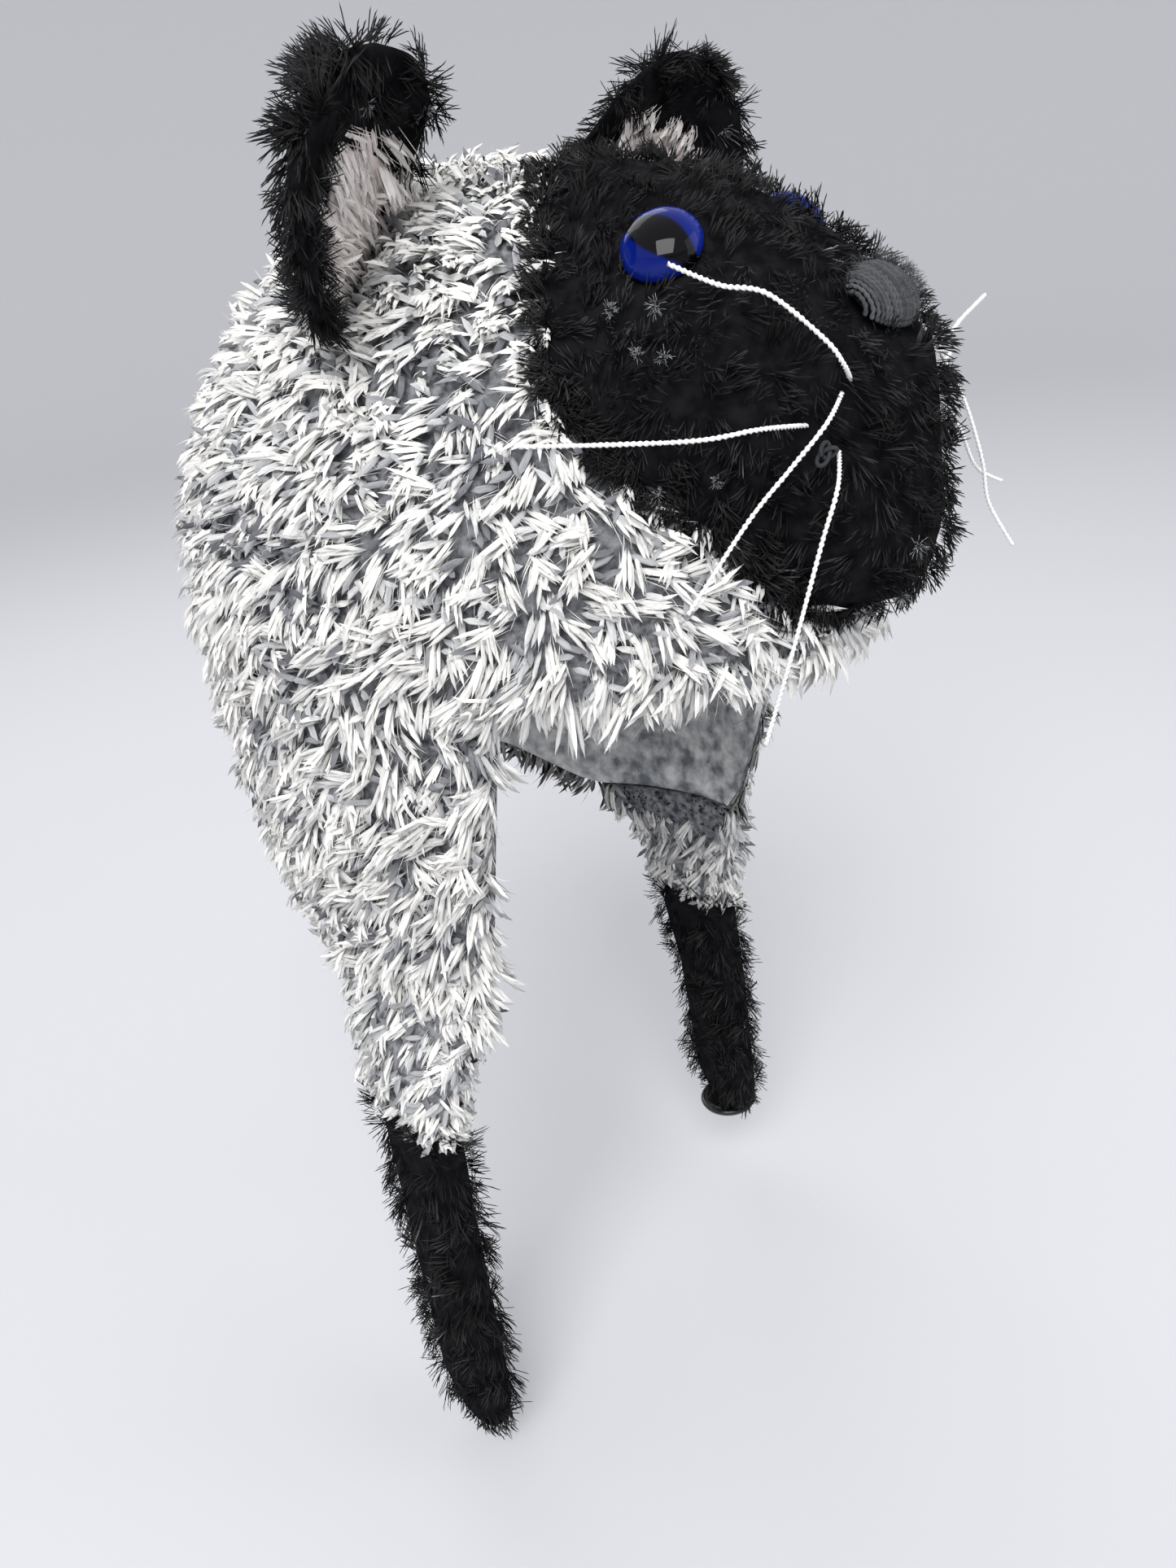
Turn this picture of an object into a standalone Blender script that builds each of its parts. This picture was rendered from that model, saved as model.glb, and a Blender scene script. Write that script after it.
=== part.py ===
# Furry animal hat with ears, a padded muzzle, ear flaps and button straps, in the form it has when worn.
# Metres, +Z up. The origin is the inner top of the crown, where it sits on the head. The muzzle faces -Y,
# the wearer's right side is -X, and the strap with the button is on +X.

import math
import random

import bpy
from mathutils import Matrix, Vector

GAP = 0.0003

# The head that the crown fits: half its breadth, half its length, and its widest level to its top.
HEAD_HALF_WIDTH = 0.079
HEAD_HALF_LENGTH = 0.096
HEAD_DOME = 0.103

# Crocheted wall and the fur that stands on it.
WALL = 0.004
FUR = 0.009
PLUSH = 0.005
LOCK_SPREAD = (0.8, 1.1)
TUFT_SPREAD = (0.7, 1.2)
STITCHES = 56
CROWN_ROWS = 12
FLAP_ROWS = 6
HEM = 0.004
LINING_ROWS = 6

# Reach of the crown's locks as shares of FUR, and how far a ridge or a furrow slides down its row.
REACH = {"ridge": 1.0, "furrow": 0.55, "root": 0.45, "thin": 0.6, "hem": 0.35, "top": 0.7}
SLIDE = {"ridge": 0.7, "furrow": 0.1}

# Levels below the widest level of the head: front edge, flap end at the strap, edge over the nape.
BRIM_DROP = 0.006
FLAP_DROP = 0.100
NAPE_DROP = 0.078

# The flap's front edge, its joint with the strap and its back edge, in degrees round from the front.
FLAP_FRONT = 60.0
STRAP_FRONT = 72.0
STRAP_BACK = 112.0
FLAP_BACK = 150.0

# Narrowing below the widest level: share of FLAP_DROP, share of the half width, of the half length.
NECK_ROWS = (
    {"drop": 0.0, "width": 1.0, "length": 1.0},
    {"drop": 0.45, "width": 0.98, "length": 0.96},
    {"drop": 0.75, "width": 0.93, "length": 0.87},
    {"drop": 1.0, "width": 0.87, "length": 0.77},
)

# Face: its outline on the crown, as spread round from the front and fall from the top, both in degrees.
FACE_SPREAD = 46.0
FACE_TOP = 17.0
FACE_BOTTOM = 89.0
FACE_MARGIN = 5.0
FACE_MIDDLE = 0.55
FACE_EDGE = 0.004
MUZZLE_DEPTH = 0.030
FACE_SPOKES = 20
FACE_RINGS = 8
FLAT_SHARE = 0.8

# The outline, from the middle of its top edge to its lowest point: shares of the spread and of the fall.
FACE_OUTLINE = (
    {"spread": 0.0, "fall": 0.0},
    {"spread": 0.50, "fall": 0.01},
    {"spread": 0.80, "fall": 0.17},
    {"spread": 0.94, "fall": 0.34},
    {"spread": 1.0, "fall": 0.49},
    {"spread": 0.98, "fall": 0.58},
    {"spread": 0.86, "fall": 0.66},
    {"spread": 0.72, "fall": 0.74},
    {"spread": 0.56, "fall": 0.81},
    {"spread": 0.45, "fall": 0.89},
    {"spread": 0.28, "fall": 0.965},
    {"spread": 0.0, "fall": 1.0},
)

# How far the padding stands off the crown along the middle of the face: share of the fall, of the depth.
MUZZLE_PROFILE = (
    {"fall": 0.0, "depth": 0.05},
    {"fall": 0.18, "depth": 0.32},
    {"fall": 0.30, "depth": 0.52},
    {"fall": 0.40, "depth": 0.67},
    {"fall": 0.48, "depth": 0.80},
    {"fall": 0.56, "depth": 0.90},
    {"fall": 0.66, "depth": 1.0},
    {"fall": 0.76, "depth": 0.86},
    {"fall": 0.88, "depth": 0.76},
    {"fall": 0.94, "depth": 0.66},
    {"fall": 0.98, "depth": 0.42},
    {"fall": 1.0, "depth": 0.12},
)

# Ears: the places of the inner and outer foot on the crown, in degrees, how far the cup leans forward
# from the crown's normal, in degrees, then the cup's own sizes.
EAR_FOOT_INNER = (70.0, 23.5)
EAR_FOOT_OUTER = (79.0, 45.5)
EAR_LEAN = 22.0
EAR_HEIGHT = 0.0495
EAR_HALF_WIDTH = 0.0325
EAR_WALL = 0.017
EAR_CUP = 0.0200
EAR_LINING = 0.0025
LINING_GAP = 0.0008
LINING_LOW = 0.10
LINING_HIGH = 0.74
LINING_SPREAD = 0.90
LINING_STEPS = 6
EAR_COLUMNS = 24
EAR_ROWS = 8

# The ear's skin: how square its section is, and how much its wall and its cup shrink to the tip.
EAR_SQUARE = 0.8
EAR_THIN = 0.25
EAR_FLATTEN = 0.45
EAR_FOOT_GAP = 0.007
EAR_FOOT_FADE = 0.008

# Half width of the ear over its height, as shares.
EAR_OUTLINE = (
    {"height": 0.0, "width": 0.66},
    {"height": 0.20, "width": 0.87},
    {"height": 0.45, "width": 1.0},
    {"height": 0.65, "width": 0.97},
    {"height": 0.80, "width": 0.86},
    {"height": 0.92, "width": 0.68},
    {"height": 1.0, "width": 0.46},
)

EYE_DIAMETER = 0.0185
EYE_HEIGHT = 0.0062
EYE_PLACE = (24.1, 0.389)
NOSE_HALF_WIDTH = 0.013
NOSE_HALF_LENGTH = 0.0085
NOSE_HEIGHT = 0.0055
NOSE_FALL = 0.575
EYE_CLEARANCE = 0.006
NOSE_CLEARANCE = 0.004

# Straps: lengths of the pale and the dark part, below the flaps.
STRAP_LENGTH = 0.042
STRAP_WIDTH = 0.050
STRAP_THICKNESS = 0.025
END_LENGTH_RIGHT = 0.111
END_LENGTH_LEFT = 0.088
END_WIDTH = 0.044
END_THICKNESS = 0.024
STRAP_COLUMNS = 18
STRAP_ROW = 0.0105
STRAP_SQUARE = 0.8

# A strap keeps the flap's bend over its first part; its end closes from a share of its length to a share
# of its section.
BEND_SHARE = 0.7
CLOSE_FROM = 0.90
CLOSE_TO = 0.80

# How a strap hangs: share of its whole length, share of HEAD_HALF_WIDTH out from the middle, metres back,
# degrees of turn.
RIGHT_HANG = (
    {"along": 0.0, "out": 0.975, "back": 0.000, "turn": 0.0},
    {"along": 0.27, "out": 0.956, "back": 0.003, "turn": 14.0},
    {"along": 0.60, "out": 0.981, "back": 0.000, "turn": 18.0},
    {"along": 1.0, "out": 1.013, "back": -0.005, "turn": 20.0},
)
LEFT_HANG = (
    {"along": 0.0, "out": 0.975, "back": 0.000, "turn": 0.0},
    {"along": 0.29, "out": 0.943, "back": 0.000, "turn": -10.0},
    {"along": 0.60, "out": 0.918, "back": -0.007, "turn": -24.0},
    {"along": 1.0, "out": 0.899, "back": -0.011, "turn": -30.0},
)

BUTTON_DIAMETER = 0.022
BUTTON_THICKNESS = 0.0030
BUTTON_RIM = 0.0025
BUTTON_DISH = 0.0010
SHANK_DIAMETER = 0.005
SHANK_LENGTH = 0.004
BUTTON_SIDES = 24

WHISKER_DIAMETER = 0.0014
WHISKER_CLEARANCE = 0.006

# Whiskers: where each leaves the muzzle, in degrees round and as a share of the face's fall, then the
# points of its course as steps out, forward and up from there, in metres.
UPPER_ROOT = (13.2, 0.663)
MIDDLE_ROOT = (18.1, 0.696)
LOWER_ROOT = (14.3, 0.674)
HANGING_ROOT = (14.8, 0.737)
MIDDLE_COURSE = (
    (0.017, -0.0015, 0.0024),
    (0.026, -0.0095, 0.002),
    (0.036, -0.021, 0.003),
    (0.052, -0.035, 0.0055),
)
WHISKERS = (
    {
        "name": "upper_right",
        "side": -1,
        "root": UPPER_ROOT,
        "course": (
            (0.007, 0.002, 0.004),
            (0.011, 0.0, 0.0094),
            (0.017, -0.009, 0.019),
            (0.020, -0.018, 0.0214),
            (0.021, -0.029, 0.026),
        ),
    },
    {"name": "middle_right", "side": -1, "root": MIDDLE_ROOT, "course": MIDDLE_COURSE},
    {
        "name": "lower_right",
        "side": -1,
        "root": LOWER_ROOT,
        "course": (
            (0.011, 0.002, -0.004),
            (0.018, -0.003, -0.012),
            (0.025, -0.009, -0.021),
            (0.035, -0.019, -0.039),
        ),
    },
    {
        "name": "hanging_right",
        "side": -1,
        "root": HANGING_ROOT,
        "course": (
            (0.011, 0.005, -0.005),
            (0.015, 0.003, -0.016),
            (0.021, -0.0014, -0.038),
            (0.023, -0.008, -0.060),
        ),
    },
    {
        "name": "upper_left",
        "side": 1,
        "root": UPPER_ROOT,
        "course": ((0.007, 0.0005, 0.003), (0.015, -0.001, 0.004), (0.035, -0.003, 0.007)),
    },
    {"name": "middle_left", "side": 1, "root": MIDDLE_ROOT, "course": MIDDLE_COURSE},
    {
        "name": "lower_left",
        "side": 1,
        "root": HANGING_ROOT,
        "course": ((0.009, 0.0015, -0.007), (0.017, 0.003, -0.0185), (0.030, 0.005, -0.025)),
    },
    {
        "name": "hanging_left",
        "side": 1,
        "root": LOWER_ROOT,
        "course": (
            (0.009, 0.0025, -0.0125),
            (0.015, 0.005, -0.028),
            (0.019, 0.0055, -0.0395),
            (0.025, 0.010, -0.052),
        ),
    },
)

BASE = WALL + GAP
DOME_PATH = HEAD_DOME * math.pi / 2
rng = random.Random(11)


def between(rows, key, at, value):
    """The value at a place in a table, eased through its rows."""
    if at <= rows[0][key]:
        return rows[0][value]
    for low, high in zip(rows, rows[1:]):
        if at <= high[key]:
            share = (at - low[key]) / (high[key] - low[key])
            return low[value] + (high[value] - low[value]) * share
    return rows[-1][value]


def ease(share):
    share = min(max(share, 0.0), 1.0)
    return share * share * (3 - 2 * share)


def on_form(around, path, off):
    """A point on the head's form: degrees round from the front, metres down the form, metres outwards."""
    turn = math.radians(around)
    width = HEAD_HALF_WIDTH + off
    length = HEAD_HALF_LENGTH + off
    if path <= DOME_PATH:
        fall = path / HEAD_DOME
        reach = math.sin(fall)
        z = (HEAD_DOME + off) * math.cos(fall) - HEAD_DOME
        return Vector((width * reach * math.sin(turn), -length * reach * math.cos(turn), z))
    drop = path - DOME_PATH
    share = drop / FLAP_DROP
    width = HEAD_HALF_WIDTH * between(NECK_ROWS, "drop", share, "width") + off
    length = HEAD_HALF_LENGTH * between(NECK_ROWS, "drop", share, "length") + off
    return Vector((width * math.sin(turn), -length * math.cos(turn), -HEAD_DOME - drop))


def edge_drop(around):
    """How far the hat's edge lies below the head's widest level, at an angle round from the front."""
    side = abs((around + 180.0) % 360.0 - 180.0)
    if side <= STRAP_FRONT:
        share = (side - FLAP_FRONT) / (STRAP_FRONT - FLAP_FRONT)
        return BRIM_DROP + (FLAP_DROP - BRIM_DROP) * ease(share)
    if side <= STRAP_BACK:
        return FLAP_DROP
    share = (side - STRAP_BACK) / (FLAP_BACK - STRAP_BACK)
    return FLAP_DROP + (NAPE_DROP - FLAP_DROP) * ease(share)


def outline_point(share):
    """Spread and fall of the face's edge, in degrees, from its top middle to its lowest point."""
    rows = FACE_OUTLINE
    step = share * (len(rows) - 1)
    index = min(int(step), len(rows) - 2)
    part = step - index
    spread = rows[index]["spread"] * (1 - part) + rows[index + 1]["spread"] * part
    fall = rows[index]["fall"] * (1 - part) + rows[index + 1]["fall"] * part
    return FACE_SPREAD * spread, FACE_TOP + (FACE_BOTTOM - FACE_TOP) * fall


def face_spread_at(fall):
    """Half the face's breadth in degrees at a share of its fall."""
    return FACE_SPREAD * between(FACE_OUTLINE, "fall", fall, "spread")


def in_face(around, fall_degrees, margin):
    side = abs((around + 180.0) % 360.0 - 180.0)
    share = (fall_degrees - FACE_TOP) / (FACE_BOTTOM - FACE_TOP)
    slack = margin / (FACE_BOTTOM - FACE_TOP)
    if share < -slack or share > 1 + slack:
        return False
    widest = max(face_spread_at(share + slack), face_spread_at(share), face_spread_at(share - slack))
    return side < widest + margin / max(math.sin(math.radians(fall_degrees)), 0.3)


def face_relief(around, fall_degrees):
    """How far the padded face stands off the crown."""
    share = (fall_degrees - FACE_TOP) / (FACE_BOTTOM - FACE_TOP)
    share = min(max(share, 0.0), 1.0)
    across = min(abs(around) / max(face_spread_at(share), 1.0), 1.0)
    body = 0.5 + 0.5 * math.cos(math.pi * across ** 1.5)
    return FACE_EDGE + MUZZLE_DEPTH * between(MUZZLE_PROFILE, "fall", share, "depth") * body


def on_face(around, fall_share, off=0.0):
    fall = FACE_TOP + (FACE_BOTTOM - FACE_TOP) * fall_share
    return on_form(around, math.radians(fall) * HEAD_DOME, BASE + face_relief(around, fall) + off)


def face_normal(around, fall_share, step=1.5):
    lower = step / (FACE_BOTTOM - FACE_TOP)
    across = on_face(around + step, fall_share) - on_face(around - step, fall_share)
    down = on_face(around, fall_share + lower) - on_face(around, fall_share - lower)
    return down.cross(across).normalized()


def add_mesh(name, points, faces, material):
    mesh = bpy.data.meshes.new(name)
    mesh.from_pydata([tuple(point) for point in points], [], faces)
    mesh.validate()
    obj = bpy.data.objects.new(name, mesh)
    hat.objects.link(obj)
    mesh.materials.append(material)
    return obj


def rings_to_mesh(name, rings, material, first=None, last=None):
    """A closed body from rings of equal length, whose ends close on a middle point or on the one given."""
    count = len(rings[0])
    points = [point for ring in rings for point in ring]
    faces = []
    for row in range(len(rings) - 1):
        for col in range(count):
            nxt = (col + 1) % count
            low = row * count
            faces.append((low + col, low + nxt, low + count + nxt, low + count + col))
    start = first or sum(rings[0], Vector()) / count
    stop = last or sum(rings[-1], Vector()) / count
    points += [start, stop]
    base = (len(rings) - 1) * count
    for col in range(count):
        nxt = (col + 1) % count
        faces.append((len(points) - 2, nxt, col))
        faces.append((len(points) - 1, base + col, base + nxt))
    obj = add_mesh(name, points, faces, material)
    corners = obj.data.vertices
    if sum(corners[side.vertices[0]].co.dot(side.normal) * side.area for side in obj.data.polygons) < 0:
        obj.data.flip_normals()
    return obj


def material(name, colour, roughness, metallic=0.0):
    made = bpy.data.materials.new(name)
    made.use_nodes = True
    shader = made.node_tree.nodes["Principled BSDF"]
    shader.inputs["Base Color"].default_value = (*colour, 1.0)
    shader.inputs["Roughness"].default_value = roughness
    shader.inputs["Metallic"].default_value = metallic
    made.diffuse_color = (*colour, 1.0)
    return made


def ear_frame(side):
    """Foot middle, way across, way up and way forward of an ear."""
    inner = on_form(side * EAR_FOOT_INNER[0], math.radians(EAR_FOOT_INNER[1]) * HEAD_DOME, BASE)
    outer = on_form(side * EAR_FOOT_OUTER[0], math.radians(EAR_FOOT_OUTER[1]) * HEAD_DOME, BASE)
    foot = (inner + outer) / 2
    across = (outer - inner).normalized()
    centre = Vector((0.0, 0.0, -HEAD_DOME))
    up = foot - centre
    up = (up - across * up.dot(across)).normalized()
    forward = (across.cross(up) if side > 0 else up.cross(across)).normalized()
    lean = math.radians(EAR_LEAN)
    raised = up * math.cos(lean) + forward * math.sin(lean)
    return foot, across, raised, forward * math.cos(lean) - up * math.sin(lean)


def ear_point(side, turn, share, thick=1.0, shrink=1.0):
    """A point of the ear's skin: turn round its section, share of its height."""
    foot, across, up, forward = ear_frame(side)
    half = EAR_HALF_WIDTH * between(EAR_OUTLINE, "height", share, "width") * shrink
    wall = EAR_WALL / 2 * thick * (1 - EAR_THIN * share)
    u = math.cos(turn) * half
    lift = math.copysign(abs(math.sin(turn)) ** EAR_SQUARE, math.sin(turn)) * wall
    cup = EAR_CUP * (1 - (u / EAR_HALF_WIDTH) ** 2) * (1 - EAR_FLATTEN * share)
    return foot + across * u + up * (EAR_HEIGHT * share) + forward * (lift - cup)


def drop_to_crown(point, up, off):
    """Slides a point along a line until it meets the crown's wall."""
    low, high = -0.05, 0.08
    for _ in range(40):
        middle = (low + high) / 2
        trial = point - up * middle
        x = trial.x / (HEAD_HALF_WIDTH + off)
        y = trial.y / (HEAD_HALF_LENGTH + off)
        z = (trial.z + HEAD_DOME) / (HEAD_DOME + off)
        if x * x + y * y + z * z > 1:
            low = middle
        else:
            high = middle
    return point - up * low


def ear_masks():
    """Foot places of both ears, where the crown's fur makes room."""
    places = []
    for side in (-1, 1):
        foot, across, up, forward = ear_frame(side)
        for step in range(-4, 5):
            u = step / 4 * EAR_HALF_WIDTH * EAR_OUTLINE[0]["width"]
            cup = EAR_CUP * (1 - (u / EAR_HALF_WIDTH) ** 2)
            places.append(drop_to_crown(foot + across * u - forward * cup, up, BASE))
    return places


def crown_fur(point, around, path, masks):
    """Share of the fur's length that stands at a point of the crown."""
    if path < DOME_PATH + BRIM_DROP and in_face(around, math.degrees(path / HEAD_DOME), FACE_MARGIN):
        return 0.0
    near = min((point - place).length for place in masks)
    return ease((near - EAR_WALL / 2 - EAR_FOOT_GAP) / EAR_FOOT_FADE)


def crown_path(around, ring):
    """How far down a ring of the fur lies: level rings to the brim, then rings that follow the edge."""
    brim = DOME_PATH + BRIM_DROP - HEM
    upper = CROWN_ROWS * 2
    if ring <= upper:
        return brim * ring / upper
    return brim + (DOME_PATH + edge_drop(around) - brim) * (ring - upper) / (FLAP_ROWS * 2)


def crown():
    masks = ear_masks()
    rings = []
    count = (CROWN_ROWS + FLAP_ROWS) * 2
    for row in range(1, count + 1):
        ring = []
        for col in range(STITCHES):
            around = 360.0 * col / STITCHES
            path = crown_path(around, row)
            step = crown_path(around, row + 1) - path if row < count else 0.0
            seat = on_form(around, path, WALL)
            fur = crown_fur(seat, around, path, masks)
            lock = rng.uniform(*LOCK_SPREAD)
            if row == count:
                reach = REACH["hem"]
            elif step < HEM / 2:
                reach = REACH["thin"]
            elif row % 2 == 1:
                lie = "ridge" if (col + row // 2) % 2 == 0 else "furrow"
                reach = REACH[lie] * lock
                path += step * SLIDE[lie] * fur
            else:
                reach = REACH["root"] * lock
            ring.append(on_form(around, path, WALL + FUR * reach * fur))
        rings.append(ring)
    for row in range(LINING_ROWS, 0, -1):
        ring = []
        for col in range(STITCHES):
            around = 360.0 * col / STITCHES
            ring.append(on_form(around, crown_path(around, row * count / LINING_ROWS), 0.0))
        rings.append(ring)
    top = Vector((0.0, 0.0, WALL + FUR * REACH["top"]))
    return rings_to_mesh("crown", rings, fur_pale, top, Vector((0.0, 0.0, 0.0)))


def face_masks():
    """Places where the plush lies flat: round the eyes and the nose, and at the whiskers' roots."""
    places = [(eye_seat(side)[0], EYE_DIAMETER / 2 + EYE_CLEARANCE) for side in (-1, 1)]
    places.append((nose_seat()[0], NOSE_HALF_WIDTH + NOSE_CLEARANCE))
    for row in WHISKERS:
        places.append((on_face(row["side"] * row["root"][0], row["root"][1]), WHISKER_CLEARANCE))
    return places


def face():
    """A padded shield over the crown's front: the outer skin from its middle to its edge, then the back."""
    masks = face_masks()
    edge = []
    for step in range(FACE_SPOKES + 1):
        edge.append(outline_point(step / FACE_SPOKES))
    edge += [(-spread, fall) for spread, fall in reversed(edge[1:-1])]
    middle = FACE_TOP + (FACE_BOTTOM - FACE_TOP) * FACE_MIDDLE
    rings = []
    for row in range(1, FACE_RINGS + 1):
        ring = []
        share = row / FACE_RINGS
        for col, (spread, fall) in enumerate(edge):
            around = spread * share
            level = middle + (fall - middle) * share
            path = math.radians(level) * HEAD_DOME
            off = BASE + face_relief(around, level)
            if row < FACE_RINGS:
                spot = on_form(around, path, off)
                clear = min(ease((spot - place).length / radius - FLAT_SHARE) for place, radius in masks)
                off += PLUSH * (0.5 if (col + row) % 2 else -0.25) * rng.uniform(*TUFT_SPREAD) * clear
            ring.append(on_form(around, path, off))
        rings.append(ring)
    for row in range(FACE_RINGS, 0, -1):
        share = row / FACE_RINGS
        ring = []
        for spread, fall in edge:
            level = middle + (fall - middle) * share
            ring.append(on_form(spread * share, math.radians(level) * HEAD_DOME, BASE + GAP))
        rings.append(ring)
    first = on_form(0.0, math.radians(middle) * HEAD_DOME, BASE + face_relief(0.0, middle))
    last = on_form(0.0, math.radians(middle) * HEAD_DOME, BASE + GAP)
    obj = rings_to_mesh("face", rings, fur_dark, first, last)
    flatten(obj, [eye_seat(side) for side in (-1, 1)], EYE_DIAMETER / 2 + EYE_CLEARANCE / 2)
    flatten(obj, [nose_seat()], NOSE_HALF_WIDTH + NOSE_CLEARANCE / 2)
    return obj


def flatten(obj, seats, radius):
    """Presses the face flat under a hard piece, so that the piece lies a gap above it."""
    for place, normal in seats:
        for vertex in obj.data.vertices:
            away = vertex.co - place
            rise = away.dot(normal)
            if (away - normal * rise).length < radius and rise > -PLUSH:
                vertex.co -= normal * (rise + GAP)


def eye_seat(side):
    normal = face_normal(side * EYE_PLACE[0], EYE_PLACE[1])
    return on_face(side * EYE_PLACE[0], EYE_PLACE[1]), normal


def nose_seat():
    return on_face(0.0, NOSE_FALL), face_normal(0.0, NOSE_FALL)


def dome(name, place, normal, half_width, half_length, height, made_of, sides=20, rows=5):
    """A flat-backed dome, its width along X."""
    across = Vector((1.0, 0.0, 0.0))
    across = (across - normal * across.dot(normal)).normalized()
    along = normal.cross(across)
    rings = []
    for row in range(rows):
        rise = math.radians(90.0 * row / rows)
        ring = []
        for col in range(sides):
            turn = 2 * math.pi * col / sides
            flat = across * (math.cos(turn) * half_width) + along * (math.sin(turn) * half_length)
            ring.append(place + flat * math.cos(rise) + normal * (height * math.sin(rise)))
        rings.append(ring)
    return rings_to_mesh(name, rings, made_of, place, place + normal * height)


def ear(side, name):
    up = ear_frame(side)[2]
    rings = []
    for shrink in (0.35, 0.7):
        ring = []
        for col in range(EAR_COLUMNS):
            turn = 2 * math.pi * col / EAR_COLUMNS
            point = ear_point(side, turn, 0.0, shrink, shrink)
            ring.append(drop_to_crown(point, up, BASE))
        rings.append(ring)
    for row in range(EAR_ROWS + 1):
        share = row / EAR_ROWS
        ring = []
        for col in range(EAR_COLUMNS):
            turn = 2 * math.pi * col / EAR_COLUMNS
            point = ear_point(side, turn, share)
            if row == 0:
                ring.append(drop_to_crown(point, up, BASE))
                continue
            if row < EAR_ROWS and not lined(col):
                out = (point - ear_point(side, turn, share, 0.2, 0.85)).normalized()
                point += out * PLUSH * (0.55 if (col + row) % 2 else -0.15) * rng.uniform(*TUFT_SPREAD)
            ring.append(point)
        rings.append(ring)
    start = drop_to_crown(ear_point(side, 0.0, 0.0, 0.01, 0.01), up, BASE)
    top = ear_point(side, 0.0, 1.0, 0.01, 0.01) + up * (PLUSH / 2)
    return rings_to_mesh(name, rings, fur_dark, start, top)


def lined(col):
    """Columns of the ear's section that the pale lining covers, on its front."""
    return 1 <= col <= EAR_COLUMNS // 2 - 1


def ear_lining(side, name):
    """A pale pad inside the cup, which narrows upwards and keeps a small gap to the ear's front."""
    forward = ear_frame(side)[3]
    rings = []
    for row in range(LINING_STEPS + 1):
        share = LINING_LOW + (LINING_HIGH - LINING_LOW) * row / LINING_STEPS
        spread = LINING_SPREAD * math.cos(math.radians(80.0 * row / LINING_STEPS))
        back = []
        for col in range(LINING_STEPS + 1):
            turn = math.pi / 2 + spread * (2 * col / LINING_STEPS - 1)
            back.append(ear_point(side, turn, share) + forward * LINING_GAP)
        front = [point + forward * EAR_LINING for point in back]
        rings.append(back + front[::-1])
    return rings_to_mesh(name, rings, fur_lining)


def hang_point(rows, along, side):
    return (
        side * HEAD_HALF_WIDTH * between(rows, "along", along, "out"),
        between(rows, "along", along, "back"),
        side * between(rows, "along", along, "turn"),
    )


def strap_ring(rows, side, along, z, width, thickness, joined):
    """A ring of the strap: near the flap it keeps the flap's bend, and lower down it is a soft oval."""
    out, back, turn = hang_point(rows, along, side)
    ring = []
    middle = (STRAP_FRONT + STRAP_BACK) / 2
    half = (STRAP_BACK - STRAP_FRONT) / 2
    path = DOME_PATH + FLAP_DROP
    lean = math.radians(turn)
    for col in range(STRAP_COLUMNS):
        angle = 2 * math.pi * col / STRAP_COLUMNS
        fore = math.copysign(abs(math.cos(angle)) ** STRAP_SQUARE, math.cos(angle))
        thick = math.copysign(abs(math.sin(angle)) ** STRAP_SQUARE, math.sin(angle))
        off = (WALL + FUR * REACH["hem"]) * (0.5 + 0.5 * thick)
        bend = on_form(side * (middle - half * fore), path, off)
        free = Vector((side * thick * thickness / 2, -fore * width / 2, 0.0))
        free = Matrix.Rotation(lean, 3, "Z") @ free + Vector((out, back, 0.0))
        point = bend * joined + free * (1 - joined)
        ring.append(Vector((point.x, point.y, z)))
    return ring


def tufted(ring, row, amount):
    """The ring with its locks: every second ring stands out in tufts that hang down a little."""
    if row % 2 == 0:
        return ring
    middle = sum(ring, Vector()) / len(ring)
    made = []
    for col, point in enumerate(ring):
        out = (point - middle).normalized()
        reach = amount * (1.0 if (col + row // 2) % 2 == 0 else 0.35)
        hang = Vector((0.0, 0.0, reach * 0.3))
        made.append(point + out * reach * rng.uniform(*TUFT_SPREAD) - hang)
    return made


def strap_set(side, word, rows, end_length):
    """The pale strap below a flap and the dark end below that."""
    top = -HEAD_DOME - FLAP_DROP - GAP
    whole = STRAP_LENGTH + end_length
    count = 2 * round(STRAP_LENGTH / STRAP_ROW)
    rings = []
    for row in range(count + 1):
        share = row / count
        along = share * STRAP_LENGTH / whole
        z = top - STRAP_LENGTH * share
        joined = 1 - ease(share / BEND_SHARE)
        ring = strap_ring(rows, side, along, z, STRAP_WIDTH - FUR, STRAP_THICKNESS - FUR, joined)
        rings.append(tufted(ring, row, FUR * REACH["top"]))
    rings_to_mesh("strap_" + word, rings, fur_pale)
    start = top - STRAP_LENGTH - GAP
    count = 2 * round(end_length / STRAP_ROW)
    rings = []
    for row in range(count + 1):
        share = row / count
        along = (STRAP_LENGTH + end_length * share) / whole
        z = start - end_length * share
        close = 1 - (1 - CLOSE_TO) * ease((share - CLOSE_FROM) / (1 - CLOSE_FROM))
        width, thickness = (END_WIDTH - PLUSH) * close, (END_THICKNESS - PLUSH) * close
        ring = strap_ring(rows, side, along, z, width, thickness, 0.0)
        rings.append(tufted(ring, row, PLUSH * REACH["top"]))
    rings_to_mesh("strap_end_" + word, rings, fur_dark)


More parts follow.
